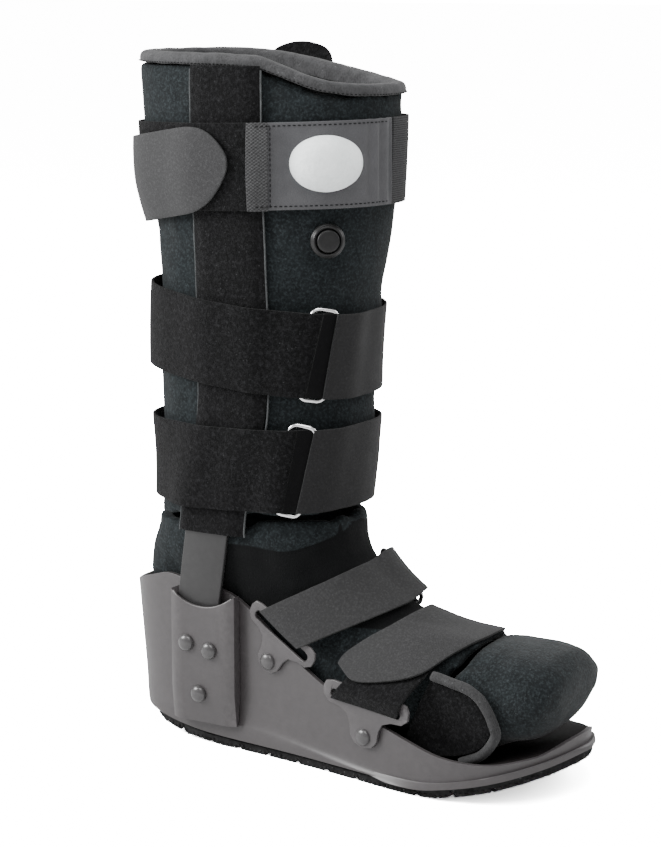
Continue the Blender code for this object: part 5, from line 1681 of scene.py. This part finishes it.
@dataclass
class StrapSet:
    """Every strap and sleeve, with the pump and the trim that is sewn to them."""

    pocket_columns: int = 120
    pocket_rows: int = 56
    pocket_start: float = -66.8
    pocket_end: float = -2.0
    pocket_thickness: float = 0.0016
    window: tuple[float, float] = (0.0255, 0.0190)

    def build(self) -> None:
        """Build and dress the straps."""
        top, mid, low = TOP_LOW, MID_LOW, LOW_LOW
        rows = (
            ("near_sleeve", "sleeve_right", LOOP, low),
            ("far_sleeve", "sleeve_left", LOOP, low),
            ("top_loop_band", "top_band", LOOP, top),
            ("top_ribbed_end", "top_webbing", WEBBING, top),
            ("top_woven_patch", "webbing_patch", PATCH, top),
            ("top_tab", "top_hook_tab", TAB, TAB_PLANE),
            ("mid_loop_band", "mid_strap_loop", ENDED_LOOP, mid),
            ("mid_grey_band", "mid_strap_hook", HOOK, mid),
            ("low_loop_band", "low_strap_loop", ENDED_LOOP, low),
            ("low_grey_band", "low_strap_hook", HOOK, low),
            ("instep_grey_band", "instep_strap", FOOT_HOOK, INSTEP_PLANE),
            ("instep_loop_band", "instep_strap_loop", LOOP, INSTEP_PLANE),
            ("toe_loop_band", "toe_strap_loop", LOOP, TOE_LOOP_PLANE),
            ("toe_tab", "toe_strap_tab", FOOT_HOOK, TOE_PLANE),
            ("toe_flap", "side_flap", LOOP, TOE_PLANE),
        )
        passes = {
            "mid_loop_band": RingPass(-28.0, 6.0, dip=0.0024, turn=13.0),
            "mid_grey_band": RingPass(-26.8, 6.0, reach=3.4, turn=8.0),
            "low_loop_band": RingPass(-38.5, 8.0, dip=0.0024, turn=13.0),
            "low_grey_band": RingPass(-37.3, 8.0, reach=3.4, turn=8.0),
        }
        for name, node, finish, plane in rows:
            drop = SLEEVE_DROP if name == "near_sleeve" else 0.0
            Strap(name, node, finish, plane, top_drop=drop, rounded=name.endswith("_tab"),
                  ring=passes.get(name)).build()
        self.welts()
        self.flap_tape()
        self.pocket()
        self.bulb()
        self.stitching()

    def welts(self) -> None:
        """Pale welt cords along both edges of each sleeve."""
        for side, sign in (("right", -1.0), ("left", 1.0)):
            cloud = points_of(frame["nodes"]["sleeve_" + side])
            heights = sorted(set(np.round(cloud[:, 2], 3)))
            for edge in (-1.0, 1.0):
                line: list[tuple[float, float, float]] = []
                for z in heights:
                    row = cloud[np.abs(cloud[:, 2] - z) < 0.0011]
                    x = (row[:, 0] * edge).max() * edge
                    near = row[np.abs(row[:, 0] - x) < 0.0006]
                    y = sign * (near[:, 1] * sign).max()
                    if line and z - line[-1][2] < 0.004:
                        continue
                    line.append((x + edge * 0.0003, y - sign * 0.0004, z))
                line = [place for place in line if place[2] < WELT_LAST]
                line.append((*line[-1][:2], WELT_TOP))
                path = curve_through(line, 10)
                path[:, 0] += 0.0003 * waves(path, 0.012, edge)
                name = "welt_%s_%s" % (side, "front" if edge > 0.0 else "back")
                dress(tube(name, path, 0.00055, sides=2), WELT)

    def stitching(self) -> None:
        """Dark stitches round the pump pocket."""
        tree = tree_of("pump_cover", "top_woven_patch")
        runs = []
        for name, share in (("stitch_pocket_top", 0.955), ("stitch_pocket_foot", 0.05)):
            plane = pocket_plane(share)
            runs.append((name, plane, np.linspace(-65.0, -4.0, 60)))
        for name, plane, angles in runs:
            path = [plane.origin() + plane.direction(a) * (plane.reach(tree, a) + 0.0002)
                    for a in angles if plane.reach(tree, a)]
            StitchRun(name, np.array(path)).build()
        upright = []
        for k in range(31):
            plane = pocket_plane(0.03 + 0.94 * k / 30.0)
            reach = plane.reach(tree, -57.6)
            if reach:
                upright.append(plane.origin() + plane.direction(-57.6) * (reach + 0.0002))
        StitchRun("stitch_pocket_side", np.array(upright)).build()

    def flap_tape(self) -> None:
        """Rolled tape round the side flap."""
        thing = copy_node("side_flap_binding", "flap_tape")
        subdivide(thing, 2)
        apply_all(thing)
        points = points_of(thing)
        change = 0.0003 + 0.0003 * waves(points, 0.006)
        push_out(thing, change)
        smooth(thing)
        dress(thing, FLAP_TAPE, nodes=("side_flap_binding",))

    def pocket(self) -> None:
        """Pump pocket with its oval window, laid over the leg as a fine grid."""
        tree = tree_of("pump_pocket")
        columns, rows = self.pocket_columns, self.pocket_rows
        angles = np.linspace(self.pocket_start, self.pocket_end, columns + 1)
        reach = np.full((rows + 1, columns + 1), np.nan)
        planes = [pocket_plane(0.006 + 0.988 * r / rows)
                  for r in range(rows + 1)]
        for r, plane in enumerate(planes):
            for k, angle in enumerate(angles):
                inside = min(max(angle, self.pocket_start + 0.4), self.pocket_end - 0.4)
                found = plane.reach(tree, inside)
                if found is not None:
                    reach[r, k] = found
        edge_rows = (reach[1] + reach[-2]) / 2.0
        expected = np.interp(np.arange(columns + 1), np.nonzero(~np.isnan(edge_rows))[0],
                             edge_rows[~np.isnan(edge_rows)])
        kernel = np.exp(-(np.arange(-9, 10) / 4.5) ** 2)
        kernel /= kernel.sum()
        padded = np.concatenate((np.full(9, expected[0]), expected, np.full(9, expected[-1])))
        expected = np.convolve(padded, kernel, mode="valid")
        bpy.ops.object.select_all(action="DESELECT")
        bpy.ops.mesh.primitive_grid_add(x_subdivisions=columns, y_subdivisions=rows, size=1.0)
        thing = bpy.context.object
        thing.name = "pump_cover"
        points = points_of(thing)
        for i, (u, v, _) in enumerate(points.copy()):
            k, r = int(round((u + 0.5) * columns)), int(round((v + 0.5) * rows))
            place = planes[r].origin() + planes[r].direction(angles[k]) * (
                expected[k] + self.folds(angles[k], r / rows))
            points[i] = place
        set_points(thing, points)
        if thing.data.polygons[0].normal.y > 0.0:
            thing.data.flip_normals()
        sheet = thing.modifiers.new("Solidify", "SOLIDIFY")
        sheet.thickness = self.pocket_thickness
        sheet.offset = -1.0
        apply_all(thing)
        self.open_window(thing)
        bevel(thing, 0.0004, 2, ROUND_FROM)
        apply_all(thing)
        smooth(thing, 50.0)
        unroll(thing, TOP_LOW)
        dress(thing, POCKET, nodes=("pump_pocket",))

    def folds(self, angle: float, height: float) -> float:
        """Rise of the pocket's surface: soft upright folds beside the webbing.

        Args:
            angle: Angle round the leg in degrees.
            height: Share of the pocket's height.

        Returns:
            The rise in metres.
        """
        near = max(0.0, min(1.0, (angle + 20.0) / 6.0))
        wave = math.sin((angle + 20.0) * 1.05) * near
        edge = math.exp(-((height - 0.5) / 0.46) ** 8)
        return 0.0012 * wave * edge - 0.0003 * (1.0 - edge)

    def open_window(self, thing: bpy.types.Object) -> None:
        """Cut the oval window through the pocket.

        Args:
            thing: The pocket, which is changed.
        """
        low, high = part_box("pump_bulb")
        cloud = points_of(frame["nodes"]["pump_bulb"])
        middle, axes = principal(cloud)
        away = axes[2] * math.copysign(1.0, axes[2][0])
        away[2] = 0.0
        away /= np.linalg.norm(away)
        bpy.ops.object.select_all(action="DESELECT")
        bpy.ops.mesh.primitive_cylinder_add(vertices=72, radius=1.0, depth=0.06)
        cutter = bpy.context.object
        across = np.cross(away, (0.0, 0.0, 1.0))
        turn = Matrix((across, (0.0, 0.0, 1.0), away)).transposed().to_4x4()
        size = Matrix.Diagonal((self.window[0], self.window[1], 1.0, 1.0))
        centre = Vector((middle[0], middle[1], (low[2] + high[2]) / 2.0))
        cutter.data.transform(Matrix.Translation(centre) @ turn @ size)
        opening = thing.modifiers.new("Window", "BOOLEAN")
        opening.operation = "DIFFERENCE"
        opening.object = cutter
        apply_all(thing)
        bpy.data.objects.remove(cutter, do_unlink=True)

    def bulb(self) -> None:
        """Soft pump bulb in the window."""
        thing = copy_node("pump_bulb", "bulb_dome")
        subdivide(thing, 3)
        apply_all(thing)
        push_out(thing, 0.00012 * waves(points_of(thing), 0.005))
        smooth(thing)
        dress(thing, BULB, nodes=("pump_bulb",))


@dataclass
class Studio:
    """Pale floor, soft lights and the camera."""

    world: float = 0.75
    backdrop: float = 40.0
    floor_gain: float = 20.0

    def build(self) -> None:
        """Set the stage."""
        scene = bpy.context.scene
        data = bpy.data.cameras.new("camera")
        data.lens = VIEW.lens
        data.sensor_width = VIEW.sensor
        data.sensor_fit = "AUTO"
        data.clip_start = 0.05
        data.clip_end = 100.0
        camera = bpy.data.objects.new("camera", data)
        scene.collection.objects.link(camera)
        camera.matrix_world = VIEW.matrix()
        scene.camera = camera
        for name, place, size, energy in (
                ("key_light", (-1.45, -1.05, 1.15), 0.9, 66.0),
                ("top_light", (0.35, -0.65, 1.7), 1.1, 22.0),
                ("back_light", (0.7, 1.3, 1.1), 1.2, 14.0)):
            light = bpy.data.lights.new(name, "AREA")
            light.energy = energy
            light.size = size
            lamp = bpy.data.objects.new(name, light)
            lamp.matrix_world = looking(place, (-0.03, 0.0, 0.2))
            scene.collection.objects.link(lamp)
        world = bpy.data.worlds.new("studio")
        world.use_nodes = True
        sheet = NodeSheet(world.node_tree)
        back = world.node_tree.nodes["Background"]
        back.inputs["Color"].default_value = (1.0, 1.0, 1.0, 1.0)
        seen = sheet.add("ShaderNodeLightPath").outputs["Is Camera Ray"]
        glow = sheet.math("MULTIPLY_ADD", seen, self.backdrop - self.world)
        sheet.feed(glow.node.inputs[2], self.world)
        sheet.feed(back.inputs["Strength"], glow)
        scene.world = world
        bpy.ops.object.select_all(action="DESELECT")
        bpy.ops.mesh.primitive_plane_add(size=60.0)
        floor = bpy.context.object
        floor.name = "studio_floor"
        floor.data.materials.append(self.paper())

    def paper(self) -> bpy.types.Material:
        """White paper, exposed so that its lit part burns out as a studio sweep does.

        Returns:
            The floor's material.
        """
        material = bpy.data.materials.new("studio_paper")
        material.use_nodes = True
        sheet = NodeSheet(material.node_tree)
        for node in list(material.node_tree.nodes):
            if node.type == "BSDF_PRINCIPLED":
                material.node_tree.nodes.remove(node)
        end = next(n for n in material.node_tree.nodes if n.type == "OUTPUT_MATERIAL")
        seen = sheet.add("ShaderNodeLightPath").outputs["Is Camera Ray"]
        tone = sheet.mix(seen, (0.8, 0.8, 0.8, 1.0), (*(self.floor_gain,) * 3, 1.0))
        paper = sheet.add("ShaderNodeBsdfDiffuse")
        sheet.feed(paper.inputs["Color"], tone)
        sheet.feed(end.inputs["Surface"], paper.outputs[0])
        return material


def main() -> None:
    """Build the stage and the boot's pieces in order."""
    logging.basicConfig(level=logging.INFO, format="%(message)s")
    Studio().build()
    MouldedShell().build()
    Hardware().build()
    PaddedLiner().build()
    StrapSet().build()


if __name__ == "__main__":
    main()
